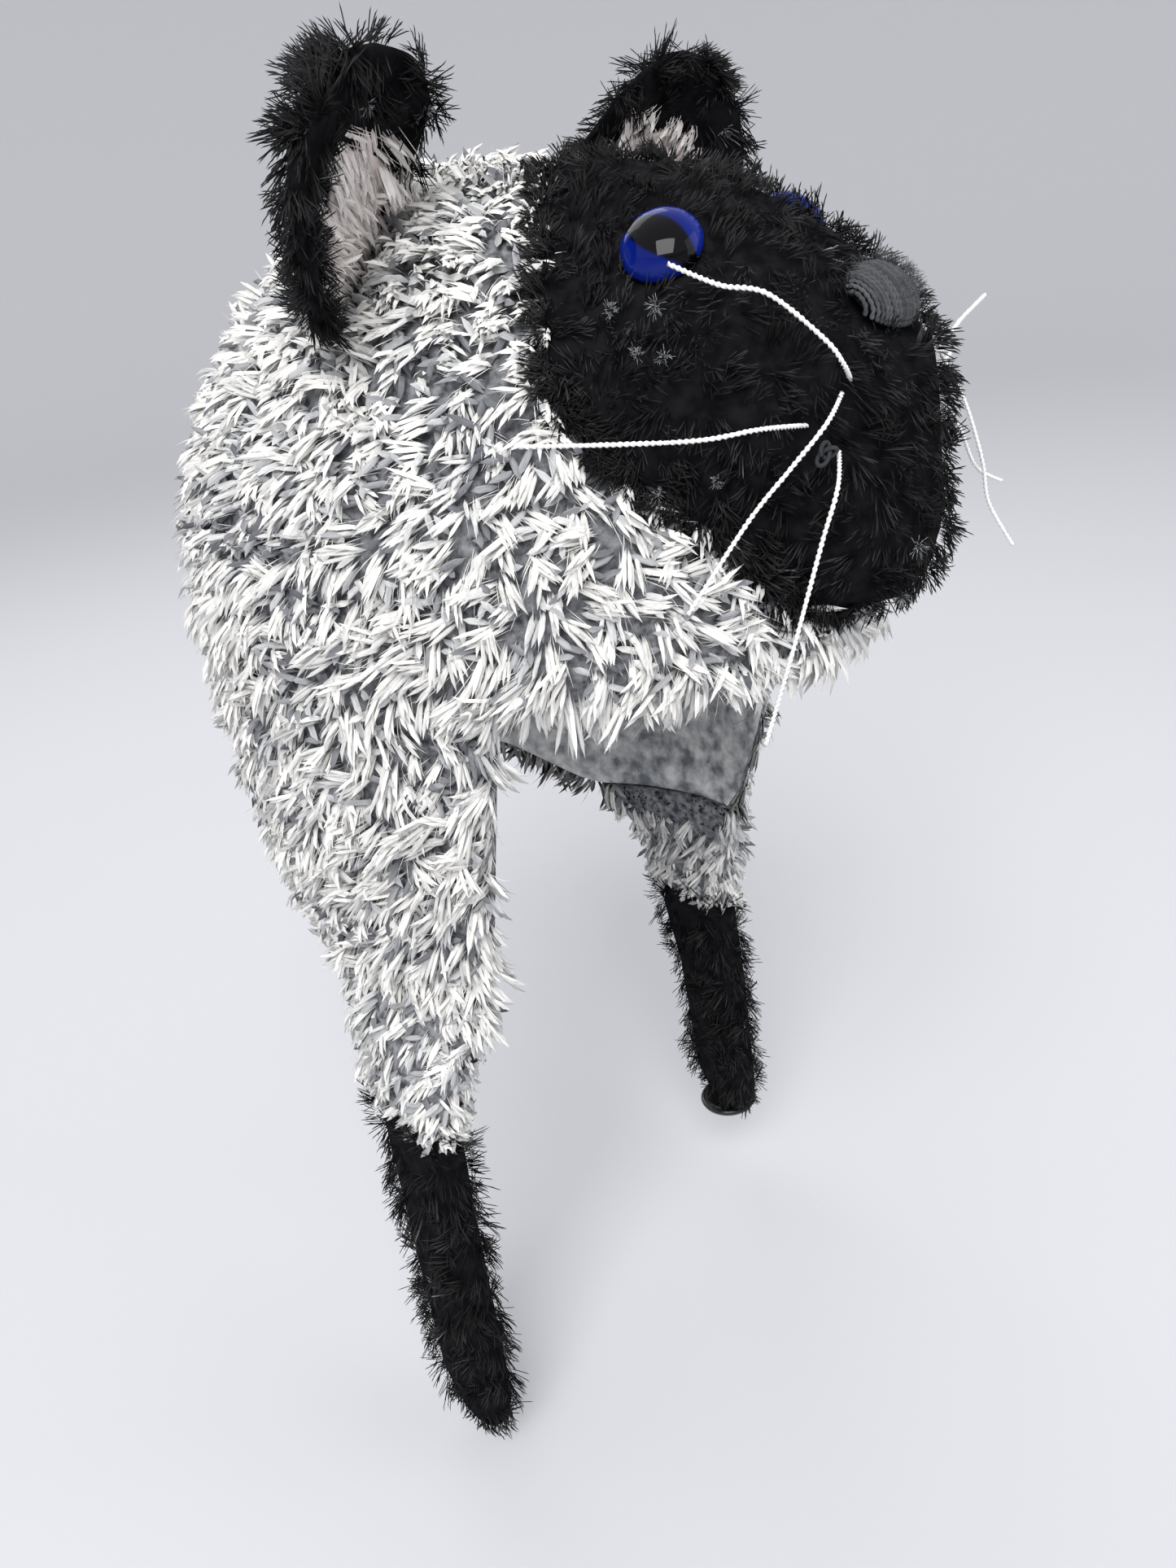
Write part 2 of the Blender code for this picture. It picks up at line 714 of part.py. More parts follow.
def button():
    """A dished button on a short shank, under the end of the left strap."""
    out, back, _ = hang_point(LEFT_HANG, 1.0, 1)
    z = -HEAD_DOME - FLAP_DROP - STRAP_LENGTH - END_LENGTH_LEFT - 3 * GAP
    radius = BUTTON_DIAMETER / 2
    profile = (
        (SHANK_DIAMETER / 2, 0.0),
        (SHANK_DIAMETER / 2, -SHANK_LENGTH),
        (radius - BUTTON_RIM, -SHANK_LENGTH),
        (radius - BUTTON_RIM * 0.5, -SHANK_LENGTH + BUTTON_DISH),
        (radius, -SHANK_LENGTH),
        (radius, -SHANK_LENGTH - BUTTON_THICKNESS * 0.5),
        (radius - BUTTON_RIM * 0.6, -SHANK_LENGTH - BUTTON_THICKNESS),
    )
    rings = []
    for reach, height in profile:
        ring = []
        for step in range(BUTTON_SIDES):
            turn = 2 * math.pi * step / BUTTON_SIDES
            ring.append(Vector((out + reach * math.cos(turn), back + reach * math.sin(turn), z + height)))
        rings.append(ring)
    return rings_to_mesh("button", rings, plastic_dark)


def smooth_path(points, count):
    """Points along a smooth curve through the given ones."""
    made = []
    for index in range(len(points) - 1):
        before = points[max(index - 1, 0)]
        start = points[index]
        stop = points[index + 1]
        after = points[min(index + 2, len(points) - 1)]
        for step in range(count):
            t = step / count
            slope = (stop - before) / 2
            bend = before - 2.5 * start + 2 * stop - after / 2
            swing = (3 * start - before - 3 * stop + after) / 2
            made.append(start + slope * t + bend * t ** 2 + swing * t ** 3)
    made.append(points[-1])
    return made


def whisker(row):
    side = row["side"]
    around, fall = side * row["root"][0], row["root"][1]
    root = on_face(around, fall) + face_normal(around, fall) * (GAP + WHISKER_DIAMETER / 2)
    points = [root]
    for out, forward, up in row["course"]:
        points.append(root + Vector((side * out, -forward, up)))
    curve = bpy.data.curves.new("whisker_" + row["name"], "CURVE")
    curve.dimensions = "3D"
    curve.bevel_depth = WHISKER_DIAMETER / 2
    curve.bevel_resolution = 2
    curve.use_fill_caps = True
    course = smooth_path(points, 3)
    spline = curve.splines.new("POLY")
    spline.points.add(len(course) - 1)
    for spot, point in zip(spline.points, course):
        spot.co = (*point, 1.0)
    obj = bpy.data.objects.new(curve.name, curve)
    curve.materials.append(thread_pale)
    hat.objects.link(obj)
    return obj


for old in list(bpy.data.objects):
    bpy.data.objects.remove(old, do_unlink=True)
hat = bpy.data.collections.new("animal_hat")
bpy.context.scene.collection.children.link(hat)

fur_pale = material("frosted_fur", (0.74, 0.75, 0.76), 0.9)
fur_dark = material("dark_plush", (0.012, 0.012, 0.014), 0.85)
fur_lining = material("pale_lining", (0.72, 0.66, 0.63), 0.9)
thread_pale = material("waxed_thread", (0.85, 0.85, 0.84), 0.5)
thread_grey = material("grey_yarn", (0.10, 0.11, 0.12), 0.85)
eye_blue = material("blue_eye", (0.01, 0.02, 0.30), 0.08)
plastic_dark = material("dark_plastic", (0.01, 0.01, 0.012), 0.25)

crown()
face()
for side, word in ((-1, "right"), (1, "left")):
    ear(side, "ear_" + word)
    ear_lining(side, "ear_lining_" + word)
    place, normal = eye_seat(side)
    dome("eye_" + word, place, normal, EYE_DIAMETER / 2, EYE_DIAMETER / 2, EYE_HEIGHT, eye_blue)
for row in WHISKERS:
    whisker(row)
place, normal = nose_seat()
dome("nose", place, normal, NOSE_HALF_WIDTH, NOSE_HALF_LENGTH, NOSE_HEIGHT, thread_grey)
strap_set(-1, "right", RIGHT_HANG, END_LENGTH_RIGHT)
strap_set(1, "left", LEFT_HANG, END_LENGTH_LEFT)
button()
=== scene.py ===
import math
import random

import bpy
import numpy as np
from mathutils import Matrix, Vector, noise


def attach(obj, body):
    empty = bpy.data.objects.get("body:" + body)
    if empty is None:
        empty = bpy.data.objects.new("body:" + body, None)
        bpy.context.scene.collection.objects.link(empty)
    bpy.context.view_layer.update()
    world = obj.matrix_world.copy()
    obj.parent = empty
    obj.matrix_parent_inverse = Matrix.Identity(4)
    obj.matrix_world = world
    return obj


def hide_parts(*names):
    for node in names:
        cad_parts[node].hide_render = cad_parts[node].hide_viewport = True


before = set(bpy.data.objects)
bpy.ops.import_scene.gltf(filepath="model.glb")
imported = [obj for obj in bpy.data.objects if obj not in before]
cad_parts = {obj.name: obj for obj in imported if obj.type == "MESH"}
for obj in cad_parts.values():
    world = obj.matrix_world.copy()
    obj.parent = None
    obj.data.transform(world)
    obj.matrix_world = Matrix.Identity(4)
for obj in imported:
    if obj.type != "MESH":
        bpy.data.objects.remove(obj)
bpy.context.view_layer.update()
draw = random.Random(23)
scatter = np.random.default_rng(23)
print("frame loaded")


def clearSelection():
    if bpy.context.object and bpy.context.object.mode != "OBJECT":
        bpy.ops.object.mode_set(mode="OBJECT")
    bpy.ops.object.select_all(action="DESELECT")


def tableValue(rows, key, at, value):
    # reads a table between its rows
    if at <= rows[0][key]:
        return rows[0][value]
    for low, high in zip(rows, rows[1:]):
        if at <= high[key]:
            share = (at - low[key]) / (high[key] - low[key])
            return low[value] + (high[value] - low[value]) * share
    return rows[-1][value]


def ease(share):
    share = min(max(share, 0.0), 1.0)
    return share * share * (3 - 2 * share)


def finishPiece(piece, slot, *replaced):
    # every piece rides on the hat's one body
    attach(piece, "root")
    if replaced:
        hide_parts(*replaced)


cameraValues = {
    "turn": -50.84,
    "height": 24.78,
    "roll": -6.61,
    "distance": 0.3881,
    "target": (-0.0006, -0.0153, -0.1664),
    "focalPixels": 1555.7,
    "framePixels": 1927,
    "sensor": 36.0,
}


def placeCamera():
    turn = math.radians(cameraValues["turn"])
    height = math.radians(cameraValues["height"])
    roll = math.radians(cameraValues["roll"])
    back = Vector((math.sin(turn) * math.cos(height), -math.cos(turn) * math.cos(height), math.sin(height)))
    right = (-back).cross(Vector((0.0, 0.0, 1.0))).normalized()
    up = right.cross(-back)
    rightWay = right * math.cos(roll) + up * math.sin(roll)
    upWay = up * math.cos(roll) - right * math.sin(roll)
    clearSelection()
    bpy.ops.object.camera_add()
    camera = bpy.context.object
    camera.name = "photoCamera"
    turned = Matrix((rightWay, upWay, back)).transposed().to_4x4()
    turned.translation = Vector(cameraValues["target"]) + back * cameraValues["distance"]
    camera.matrix_world = turned
    camera.data.sensor_fit = "VERTICAL"
    camera.data.sensor_height = cameraValues["sensor"]
    camera.data.lens = cameraValues["sensor"] * cameraValues["focalPixels"] / cameraValues["framePixels"]
    camera.data.clip_start = 0.01
    bpy.context.scene.camera = camera
    return rightWay, upWay


imageRight, imageUp = placeCamera()
print("camera placed")

# the hat's inner form, which every piece follows
head = {"halfWidth": 0.079, "halfLength": 0.096, "dome": 0.103, "wall": 0.004, "gap": 0.0003}
domePath = head["dome"] * math.pi / 2
faceSeat = head["wall"] + head["gap"]

# levels below the hat's widest part, and the flaps' edges in degrees round from the front
edge = {
    "brim": 0.006,
    "flap": 0.100,
    "nape": 0.078,
    "flapFront": 60.0,
    "strapFront": 72.0,
    "strapBack": 112.0,
    "flapBack": 150.0,
}
neckRows = (
    {"drop": 0.0, "width": 1.0, "length": 1.0},
    {"drop": 0.45, "width": 0.98, "length": 0.96},
    {"drop": 0.75, "width": 0.93, "length": 0.87},
    {"drop": 1.0, "width": 0.87, "length": 0.77},
)


bothSides = ((-1, "Right"), (1, "Left"))


def sideAngle(around):
    return abs((around + 180.0) % 360.0 - 180.0)


def pathAt(degrees):
    # metres down the dome at a fall from its top
    return math.radians(degrees) * head["dome"]


def onForm(around, path, off):
    # degrees round from the front, metres down the form, metres outwards
    turn = math.radians(around)
    if path <= domePath:
        fall = path / head["dome"]
        width = (head["halfWidth"] + off) * math.sin(fall)
        length = (head["halfLength"] + off) * math.sin(fall)
        level = (head["dome"] + off) * math.cos(fall) - head["dome"]
        return Vector((width * math.sin(turn), -length * math.cos(turn), level))
    drop = path - domePath
    share = drop / edge["flap"]
    width = head["halfWidth"] * tableValue(neckRows, "drop", share, "width") + off
    length = head["halfLength"] * tableValue(neckRows, "drop", share, "length") + off
    return Vector((width * math.sin(turn), -length * math.cos(turn), -head["dome"] - drop))


def edgeDrop(around):
    side = sideAngle(around)
    if side <= edge["strapFront"]:
        share = (side - edge["flapFront"]) / (edge["strapFront"] - edge["flapFront"])
        return edge["brim"] + (edge["flap"] - edge["brim"]) * ease(share)
    if side <= edge["strapBack"]:
        return edge["flap"]
    share = (side - edge["strapBack"]) / (edge["flapBack"] - edge["strapBack"])
    return edge["flap"] + (edge["nape"] - edge["flap"]) * ease(share)


# the muzzle's outline is a spread round from the front and a fall from the top, in degrees
faceForm = {"spread": 46.0, "top": 17.0, "bottom": 89.0, "edge": 0.004, "depth": 0.030, "middle": 0.55}
faceOutline = (
    {"spread": 0.0, "fall": 0.0},
    {"spread": 0.50, "fall": 0.01},
    {"spread": 0.80, "fall": 0.17},
    {"spread": 0.94, "fall": 0.34},
    {"spread": 1.0, "fall": 0.49},
    {"spread": 0.98, "fall": 0.58},
    {"spread": 0.86, "fall": 0.66},
    {"spread": 0.72, "fall": 0.74},
    {"spread": 0.56, "fall": 0.81},
    {"spread": 0.45, "fall": 0.89},
    {"spread": 0.28, "fall": 0.965},
    {"spread": 0.0, "fall": 1.0},
)
muzzleProfile = (
    {"fall": 0.0, "depth": 0.05},
    {"fall": 0.18, "depth": 0.32},
    {"fall": 0.30, "depth": 0.52},
    {"fall": 0.40, "depth": 0.67},
    {"fall": 0.48, "depth": 0.80},
    {"fall": 0.56, "depth": 0.90},
    {"fall": 0.66, "depth": 1.0},
    {"fall": 0.76, "depth": 0.86},
    {"fall": 0.88, "depth": 0.76},
    {"fall": 0.94, "depth": 0.66},
    {"fall": 0.98, "depth": 0.42},
    {"fall": 1.0, "depth": 0.12},
)


def faceSpreadAt(share):
    return faceForm["spread"] * tableValue(faceOutline, "fall", share, "spread")


def fallShare(degrees):
    return (degrees - faceForm["top"]) / (faceForm["bottom"] - faceForm["top"])


def fallDegrees(share):
    return faceForm["top"] + (faceForm["bottom"] - faceForm["top"]) * share


def inFace(around, degrees, margin):
    # a margin below zero draws the outline in
    share = fallShare(degrees)
    slack = margin / (faceForm["bottom"] - faceForm["top"])
    if share < -slack or share > 1 + slack:
        return False
    near = [faceSpreadAt(min(max(share + step, 0.0), 1.0)) for step in (-slack, 0.0, slack)]
    return sideAngle(around) < min(near) + margin / max(math.sin(math.radians(degrees)), 0.3)


def faceRelief(around, degrees):
    share = min(max(fallShare(degrees), 0.0), 1.0)
    across = min(abs(around) / max(faceSpreadAt(share), 1.0), 1.0)
    body = 0.5 + 0.5 * math.cos(math.pi * across ** 1.5)
    return faceForm["edge"] + faceForm["depth"] * tableValue(muzzleProfile, "fall", share, "depth") * body


def onFace(around, share, off=0.0):
    degrees = fallDegrees(share)
    return onForm(around, pathAt(degrees), faceSeat + faceRelief(around, degrees) + off)


def faceNormal(around, share):
    step = 1.5
    lower = step / (faceForm["bottom"] - faceForm["top"])
    across = onFace(around + step, share) - onFace(around - step, share)
    down = onFace(around, share + lower) - onFace(around, share - lower)
    return down.cross(across).normalized()


def outlinePoint(share):
    step = share * (len(faceOutline) - 1)
    index = min(int(step), len(faceOutline) - 2)
    part = step - index
    low, high = faceOutline[index], faceOutline[index + 1]
    spread = low["spread"] * (1 - part) + high["spread"] * part
    fall = low["fall"] * (1 - part) + high["fall"] * part
    return faceForm["spread"] * spread, fallDegrees(fall)


# ears: the inner and outer foot on the crown and the forward lean in degrees, then the cup's own sizes
ears = {
    "innerFoot": (70.0, 23.5),
    "outerFoot": (79.0, 45.5),
    "lean": 22.0,
    "height": 0.0495,
    "halfWidth": 0.0325,
    "wall": 0.017,
    "cup": 0.0200,
    "square": 0.8,
    "thin": 0.25,
    "flatten": 0.45,
    "inset": 0.0035,
}
earOutline = (
    {"height": 0.0, "width": 0.66},
    {"height": 0.20, "width": 0.87},
    {"height": 0.45, "width": 1.0},
    {"height": 0.65, "width": 0.97},
    {"height": 0.80, "width": 0.86},
    {"height": 0.92, "width": 0.68},
    {"height": 1.0, "width": 0.46},
)


def earFrame(side):
    inner = onForm(side * ears["innerFoot"][0], pathAt(ears["innerFoot"][1]), faceSeat)
    outer = onForm(side * ears["outerFoot"][0], pathAt(ears["outerFoot"][1]), faceSeat)
    foot = (inner + outer) / 2
    across = (outer - inner).normalized()
    up = foot - Vector((0.0, 0.0, -head["dome"]))
    up = (up - across * up.dot(across)).normalized()
    forward = (across.cross(up) if side > 0 else up.cross(across)).normalized()
    lean = math.radians(ears["lean"])
    raised = up * math.cos(lean) + forward * math.sin(lean)
    return foot, across, raised, forward * math.cos(lean) - up * math.sin(lean)


earFrames = {side: earFrame(side) for side in (-1, 1)}


def earPoint(side, turn, share, inset=0.0):
    # a point of the ear's skin: turn round its section, share of its height, metres under the skin
    foot, across, up, forward = earFrames[side]
    half = ears["halfWidth"] * tableValue(earOutline, "height", share, "width") - inset
    wall = ears["wall"] / 2 * (1 - ears["thin"] * share) - inset
    u = math.cos(turn) * half
    lift = math.copysign(abs(math.sin(turn)) ** ears["square"], math.sin(turn)) * wall
    cup = ears["cup"] * (1 - (u / ears["halfWidth"]) ** 2) * (1 - ears["flatten"] * share)
    return foot + across * u + up * (ears["height"] * share) + forward * (lift - cup)


def dropToCrown(point, up, off):
    low, high = -0.05, 0.08
    for _ in range(30):
        middle = (low + high) / 2
        trial = point - up * middle
        x = trial.x / (head["halfWidth"] + off)
        y = trial.y / (head["halfLength"] + off)
        z = (trial.z + head["dome"]) / (head["dome"] + off)
        if x * x + y * y + z * z > 1:
            low = middle
        else:
            high = middle
    return point - up * low


# straps: widths over the cloth, without the fur
straps = {
    "length": 0.042,
    "width": 0.037,
    "thickness": 0.012,
    "endRight": 0.111,
    "endLeft": 0.088,
    "endWidth": 0.035,
    "endThickness": 0.015,
    "square": 0.8,
    "bendShare": 0.7,
    "closeFrom": 0.92,
    "closeTo": 0.80,
    "topOff": 0.001,
}
rightHang = (
    {"along": 0.0, "out": 0.975, "back": 0.000, "turn": 0.0},
    {"along": 0.27, "out": 0.956, "back": 0.003, "turn": 14.0},
    {"along": 0.60, "out": 0.981, "back": 0.000, "turn": 18.0},
    {"along": 1.0, "out": 1.013, "back": -0.005, "turn": 20.0},
)
leftHang = (
    {"along": 0.0, "out": 0.975, "back": 0.000, "turn": 0.0},
    {"along": 0.29, "out": 0.943, "back": 0.000, "turn": -10.0},
    {"along": 0.60, "out": 0.918, "back": -0.007, "turn": -24.0},
    {"along": 1.0, "out": 0.899, "back": -0.011, "turn": -30.0},
)
strapSides = (
    {"side": -1, "word": "Right", "cad": "right", "hang": rightHang, "end": "endRight"},
    {"side": 1, "word": "Left", "cad": "left", "hang": leftHang, "end": "endLeft"},
)


def strapPoint(row, angle, share, isEnd):
    # share runs down the pale strap or down the dark end
    side, hang, endLength = row["side"], row["hang"], straps[row["end"]]
    whole = straps["length"] + endLength
    top = -head["dome"] - edge["flap"] - head["gap"]
    if isEnd:
        along = (straps["length"] + endLength * share) / whole
        z = top - straps["length"] - head["gap"] - endLength * share
        closing = ease((share - straps["closeFrom"]) / (1 - straps["closeFrom"]))
        close = 1 - (1 - straps["closeTo"]) * closing
        width, thickness, joined = straps["endWidth"] * close, straps["endThickness"] * close, 0.0
    else:
        along = straps["length"] * share / whole
        z = top - straps["length"] * share
        width, thickness = straps["width"], straps["thickness"]
        joined = 1 - ease(share / straps["bendShare"])
    fore = math.copysign(abs(math.cos(angle)) ** straps["square"], math.cos(angle))
    thick = math.copysign(abs(math.sin(angle)) ** straps["square"], math.sin(angle))
    lean = math.radians(side * tableValue(hang, "along", along, "turn"))
    free = Vector((side * thick * thickness / 2, -fore * width / 2, 0.0))
    free = Matrix.Rotation(lean, 3, "Z") @ free
    out = side * head["halfWidth"] * tableValue(hang, "along", along, "out")
    free += Vector((out, tableValue(hang, "along", along, "back"), 0.0))
    middle = (edge["strapFront"] + edge["strapBack"]) / 2
    half = (edge["strapBack"] - edge["strapFront"]) / 2
    off = (head["wall"] + straps["topOff"]) * (0.5 + 0.5 * thick)
    bend = onForm(side * (middle - half * fore), domePath + edge["flap"], off)
    point = bend * joined + free * (1 - joined)
    return Vector((point.x, point.y, z))


def newMaterial(name, roughness):
    made = bpy.data.materials.new(name)
    made.use_nodes = True
    shader = made.node_tree.nodes["Principled BSDF"]
    shader.inputs["Roughness"].default_value = roughness
    return made, made.node_tree, shader


def addRamp(tree, source, stops):
    node = tree.nodes.new("ShaderNodeValToRGB")
    ramp = node.color_ramp
    while len(ramp.elements) > 1:
        ramp.elements.remove(ramp.elements[-1])
    ramp.elements[0].position = stops[0][0]
    ramp.elements[0].color = (*stops[0][1], 1.0)
    for place, colour in stops[1:]:
        ramp.elements.new(place).color = (*colour, 1.0)
    tree.links.new(source, node.inputs["Fac"])
    return node.outputs["Color"]


def addMix(tree, factor, first, second, blend="MIX"):
    # each value is a socket to link or a plain value
    node = tree.nodes.new("ShaderNodeMix")
    node.data_type = "RGBA"
    node.blend_type = blend
    for index, value in ((0, factor), (6, first), (7, second)):
        if isinstance(value, bpy.types.NodeSocket):
            tree.links.new(value, node.inputs[index])
        else:
            node.inputs[index].default_value = value
    return node.outputs[2]


def uvParts(tree):
    uvMap = tree.nodes.new("ShaderNodeUVMap")
    uvMap.uv_map = "OFBake"
    split = tree.nodes.new("ShaderNodeSeparateXYZ")
    tree.links.new(uvMap.outputs["UV"], split.inputs[0])
    return split.outputs["X"], split.outputs["Y"]


# the noise that draws fibres along a strand, and the one that mottles the cloth
fibreNoise = {"along": 2.5, "detail": 2.0, "dark": 0.35, "light": 0.62}
clothNoise = {"detail": 5.0, "dark": 0.35, "light": 0.65, "bumpDepth": 0.0006, "bumpStrength": 0.6}


def furMaterial(name, values):
    # along a hair the root colour gives way to the tip colour, which changes from tuft to tuft
    made, tree, shader = newMaterial(name, values["roughness"])
    tint, along = uvParts(tree)
    tips = addRamp(tree, tint, values["tips"])
    colour = addMix(tree, addRamp(tree, along, values["along"]), (*values["root"], 1.0), tips)
    # fine fibres run along the strands
    stretch = tree.nodes.new("ShaderNodeCombineXYZ")
    for index, (source, scale) in enumerate(((tint, values["fibres"]), (along, fibreNoise["along"]))):
        times = tree.nodes.new("ShaderNodeMath")
        times.operation = "MULTIPLY"
        times.inputs[1].default_value = scale
        tree.links.new(source, times.inputs[0])
        tree.links.new(times.outputs[0], stretch.inputs[index])
    streaks = tree.nodes.new("ShaderNodeTexNoise")
    streaks.inputs["Scale"].default_value = 1.0
    streaks.inputs["Detail"].default_value = fibreNoise["detail"]
    tree.links.new(stretch.outputs[0], streaks.inputs["Vector"])
    shades = ((fibreNoise["dark"], (values["shade"],) * 3), (fibreNoise["light"], (1.0, 1.0, 1.0)))
    streaked = addMix(tree, 1.0, colour, addRamp(tree, streaks.outputs["Fac"], shades), "MULTIPLY")
    tree.links.new(streaked, shader.inputs["Base Color"])
    shader.inputs["Specular IOR Level"].default_value = values["specular"]
    return made


def clothMaterial(name, scale, dark, light):
    made, tree, shader = newMaterial(name, 0.95)
    shader.inputs["Specular IOR Level"].default_value = 0.05
    place = tree.nodes.new("ShaderNodeTexCoord")
    speckle = tree.nodes.new("ShaderNodeTexNoise")
    speckle.inputs["Scale"].default_value = scale
    speckle.inputs["Detail"].default_value = clothNoise["detail"]
    tree.links.new(place.outputs["Object"], speckle.inputs["Vector"])
    stops = ((clothNoise["dark"], dark), (clothNoise["light"], light))
    colour = addRamp(tree, speckle.outputs["Fac"], stops)
    tree.links.new(colour, shader.inputs["Base Color"])
    bump = tree.nodes.new("ShaderNodeBump")
    bump.inputs["Distance"].default_value = clothNoise["bumpDepth"]
    bump.inputs["Strength"].default_value = clothNoise["bumpStrength"]
    tree.links.new(speckle.outputs["Fac"], bump.inputs["Height"])
    tree.links.new(bump.outputs["Normal"], shader.inputs["Normal"])
    return made


frostedValues = {
    "tips": (
        (0.0, (0.90, 0.885, 0.85)),
        (0.35, (0.85, 0.84, 0.815)),
        (0.60, (0.62, 0.625, 0.63)),
        (0.80, (0.31, 0.315, 0.33)),
        (1.0, (0.11, 0.115, 0.13)),
    ),
    "along": ((0.05, (0.0, 0.0, 0.0)), (0.20, (0.55, 0.55, 0.55)), (0.38, (1.0, 1.0, 1.0))),
    "root": (0.28, 0.29, 0.305),
    "fibres": 150.0,
    "shade": 0.68,
    "roughness": 0.8,
    "specular": 0.15,
}
# black plush: the near-black root is painted shade in the valleys between clumps, and the lighter tip tints
# up to 0.93 are painted highlights on the brush ends; the white at 0.97 is the real flecks
plushValuesWithPaintedLight = {
    "tips": (
        (0.0, (0.0080, 0.0082, 0.0088)),
        (0.5, (0.022, 0.022, 0.023)),
        (0.85, (0.046, 0.046, 0.047)),
        (0.93, (0.062, 0.062, 0.064)),
        (0.97, (0.50, 0.52, 0.54)),
    ),
    # painted shade: each fibre keeps the root's near black over its lower quarter
    "along": ((0.25, (0.0, 0.0, 0.0)), (0.70, (1.0, 1.0, 1.0))),
    "root": (0.0015, 0.0015, 0.002),
    "fibres": 60.0,
    "shade": 0.6,
    "roughness": 0.75,
    "specular": 0.06,
}
liningValues = {
    "tips": ((0.0, (0.93, 0.89, 0.86)), (0.6, (0.86, 0.80, 0.77)), (1.0, (0.66, 0.58, 0.56))),
    "along": ((0.0, (0.4, 0.4, 0.4)), (0.4, (1.0, 1.0, 1.0))),
    "root": (0.55, 0.48, 0.46),
    "fibres": 80.0,
    "shade": 0.68,
    "roughness": 0.8,
    "specular": 0.15,
}
greyValues = {
    "tips": ((0.0, (0.04, 0.043, 0.047)), (1.0, (0.12, 0.125, 0.13))),
    "along": ((0.0, (0.5, 0.5, 0.5)), (0.5, (1.0, 1.0, 1.0))),
    "root": (0.04, 0.042, 0.045),
    "fibres": 60.0,
    "shade": 0.7,
    "roughness": 0.8,
    "specular": 0.15,
}
frostedFur = furMaterial("frostedFur", frostedValues)
blackPlush = furMaterial("blackPlush", plushValuesWithPaintedLight)
paleLining = furMaterial("paleLining", liningValues)
greyYarn = furMaterial("greyYarn", greyValues)
greyBacking = clothMaterial("greyBacking", 420.0, (0.05, 0.052, 0.06), (0.25, 0.255, 0.265))
insideYarn = clothMaterial("insideYarn", 170.0, (0.16, 0.17, 0.18), (0.66, 0.66, 0.65))
blackBacking = clothMaterial("blackBacking", 260.0, (0.003, 0.003, 0.004), (0.009, 0.009, 0.010))
paleBacking = clothMaterial("paleBacking", 260.0, (0.50, 0.43, 0.41), (0.70, 0.62, 0.60))
print("materials made")


weldDistance = 0.00005


def wrapGrid(name, columns, rows, place, material, thickness=0.0, closeEnds=False, inside=None):
    # a grid is laid on a form: its columns go round, its rows go down, and the seam is welded
    clearSelection()
    bpy.ops.mesh.primitive_grid_add(x_subdivisions=columns, y_subdivisions=rows, size=1.0)
    piece = bpy.context.object
    piece.name = name
    piece.data.materials.append(material)
    if inside:
        piece.data.materials.append(inside)
    for vertex in piece.data.vertices:
        vertex.co = place(vertex.co.x + 0.5, 0.5 - vertex.co.y)
    bpy.ops.object.mode_set(mode="EDIT")
    bpy.ops.mesh.select_all(action="SELECT")
    bpy.ops.mesh.remove_doubles(threshold=weldDistance)
    if closeEnds:
        bpy.ops.mesh.select_all(action="SELECT")
        bpy.ops.mesh.fill_holes(sides=0)
    bpy.ops.mesh.select_all(action="SELECT")
    bpy.ops.mesh.normals_make_consistent(inside=False)
    bpy.ops.object.mode_set(mode="OBJECT")
    if thickness:
        wall = piece.modifiers.new("wall", "SOLIDIFY")
        wall.thickness = thickness
        wall.offset = -1.0
        wall.material_offset = 1 if inside else 0
        bpy.ops.object.modifier_apply(modifier=wall.name)
    bpy.ops.object.shade_smooth()
    return piece


crownCloth = {
    "columns": 144,
    "rows": 48,
    "stitches": 56,
    "loopRows": 28,
    "loopDepth": 0.0010,
    "inset": 0.0006,
    "thickness": 0.0025,
}


def crownPlace(u, v):
    # crochet loops show inside as low ribs
    around = 360.0 * u
    path = (domePath + edgeDrop(around)) * v
    loops = math.sin(math.pi * crownCloth["stitches"] * u) * math.sin(math.pi * crownCloth["loopRows"] * v)
    return onForm(around, path, head["wall"] - crownCloth["inset"] - crownCloth["loopDepth"] * abs(loops))


crownBase = wrapGrid(
    "crownCloth",
    crownCloth["columns"],
    crownCloth["rows"],
    crownPlace,
    greyBacking,
    thickness=crownCloth["thickness"],
    inside=insideYarn,
)
finishPiece(crownBase, "frosted_fur", "crown")


muzzleCloth = {"columns": 80, "rows": 40, "relief": 0.96}


def facePlace(u, v):
    # u goes round the outline, v goes from the middle to the edge and back behind
    spread, fall = outlinePoint(min(u, 1 - u) * 2)
    if u > 0.5:
        spread = -spread
    share = min(v, 1 - v) * 2
    middle = fallDegrees(faceForm["middle"])
    degrees = middle + (fall - middle) * share
    relief = faceRelief(spread * share, degrees) * muzzleCloth["relief"]
    off = faceSeat + (relief if v <= 0.5 else head["gap"])
    return onForm(spread * share, pathAt(degrees), off)


columns, rows = muzzleCloth["columns"], muzzleCloth["rows"]
faceBase = wrapGrid("muzzleCloth", columns, rows, facePlace, blackBacking)
finishPiece(faceBase, "dark_plush", "face")


earCloth = {"columns": 48, "rows": 26, "footShare": 0.08}
liningPad = {
    "columns": 14,
    "rows": 12,
    "spread": 0.72,
    "taper": 80.0,
    "low": 0.05,
    "reach": 0.58,
    "lift": 0.0004,
    "thickness": 0.001,
}


def earPlace(side):
    # the first rows reach down to the crown
    def place(u, v):
        turn = 2 * math.pi * u
        foot = earCloth["footShare"]
        if v < foot:
            start = earPoint(side, turn, 0.0, inset=ears["inset"])
            return dropToCrown(start, earFrames[side][2], head["wall"])
        return earPoint(side, turn, (v - foot) / (1 - foot), inset=ears["inset"])

    return place


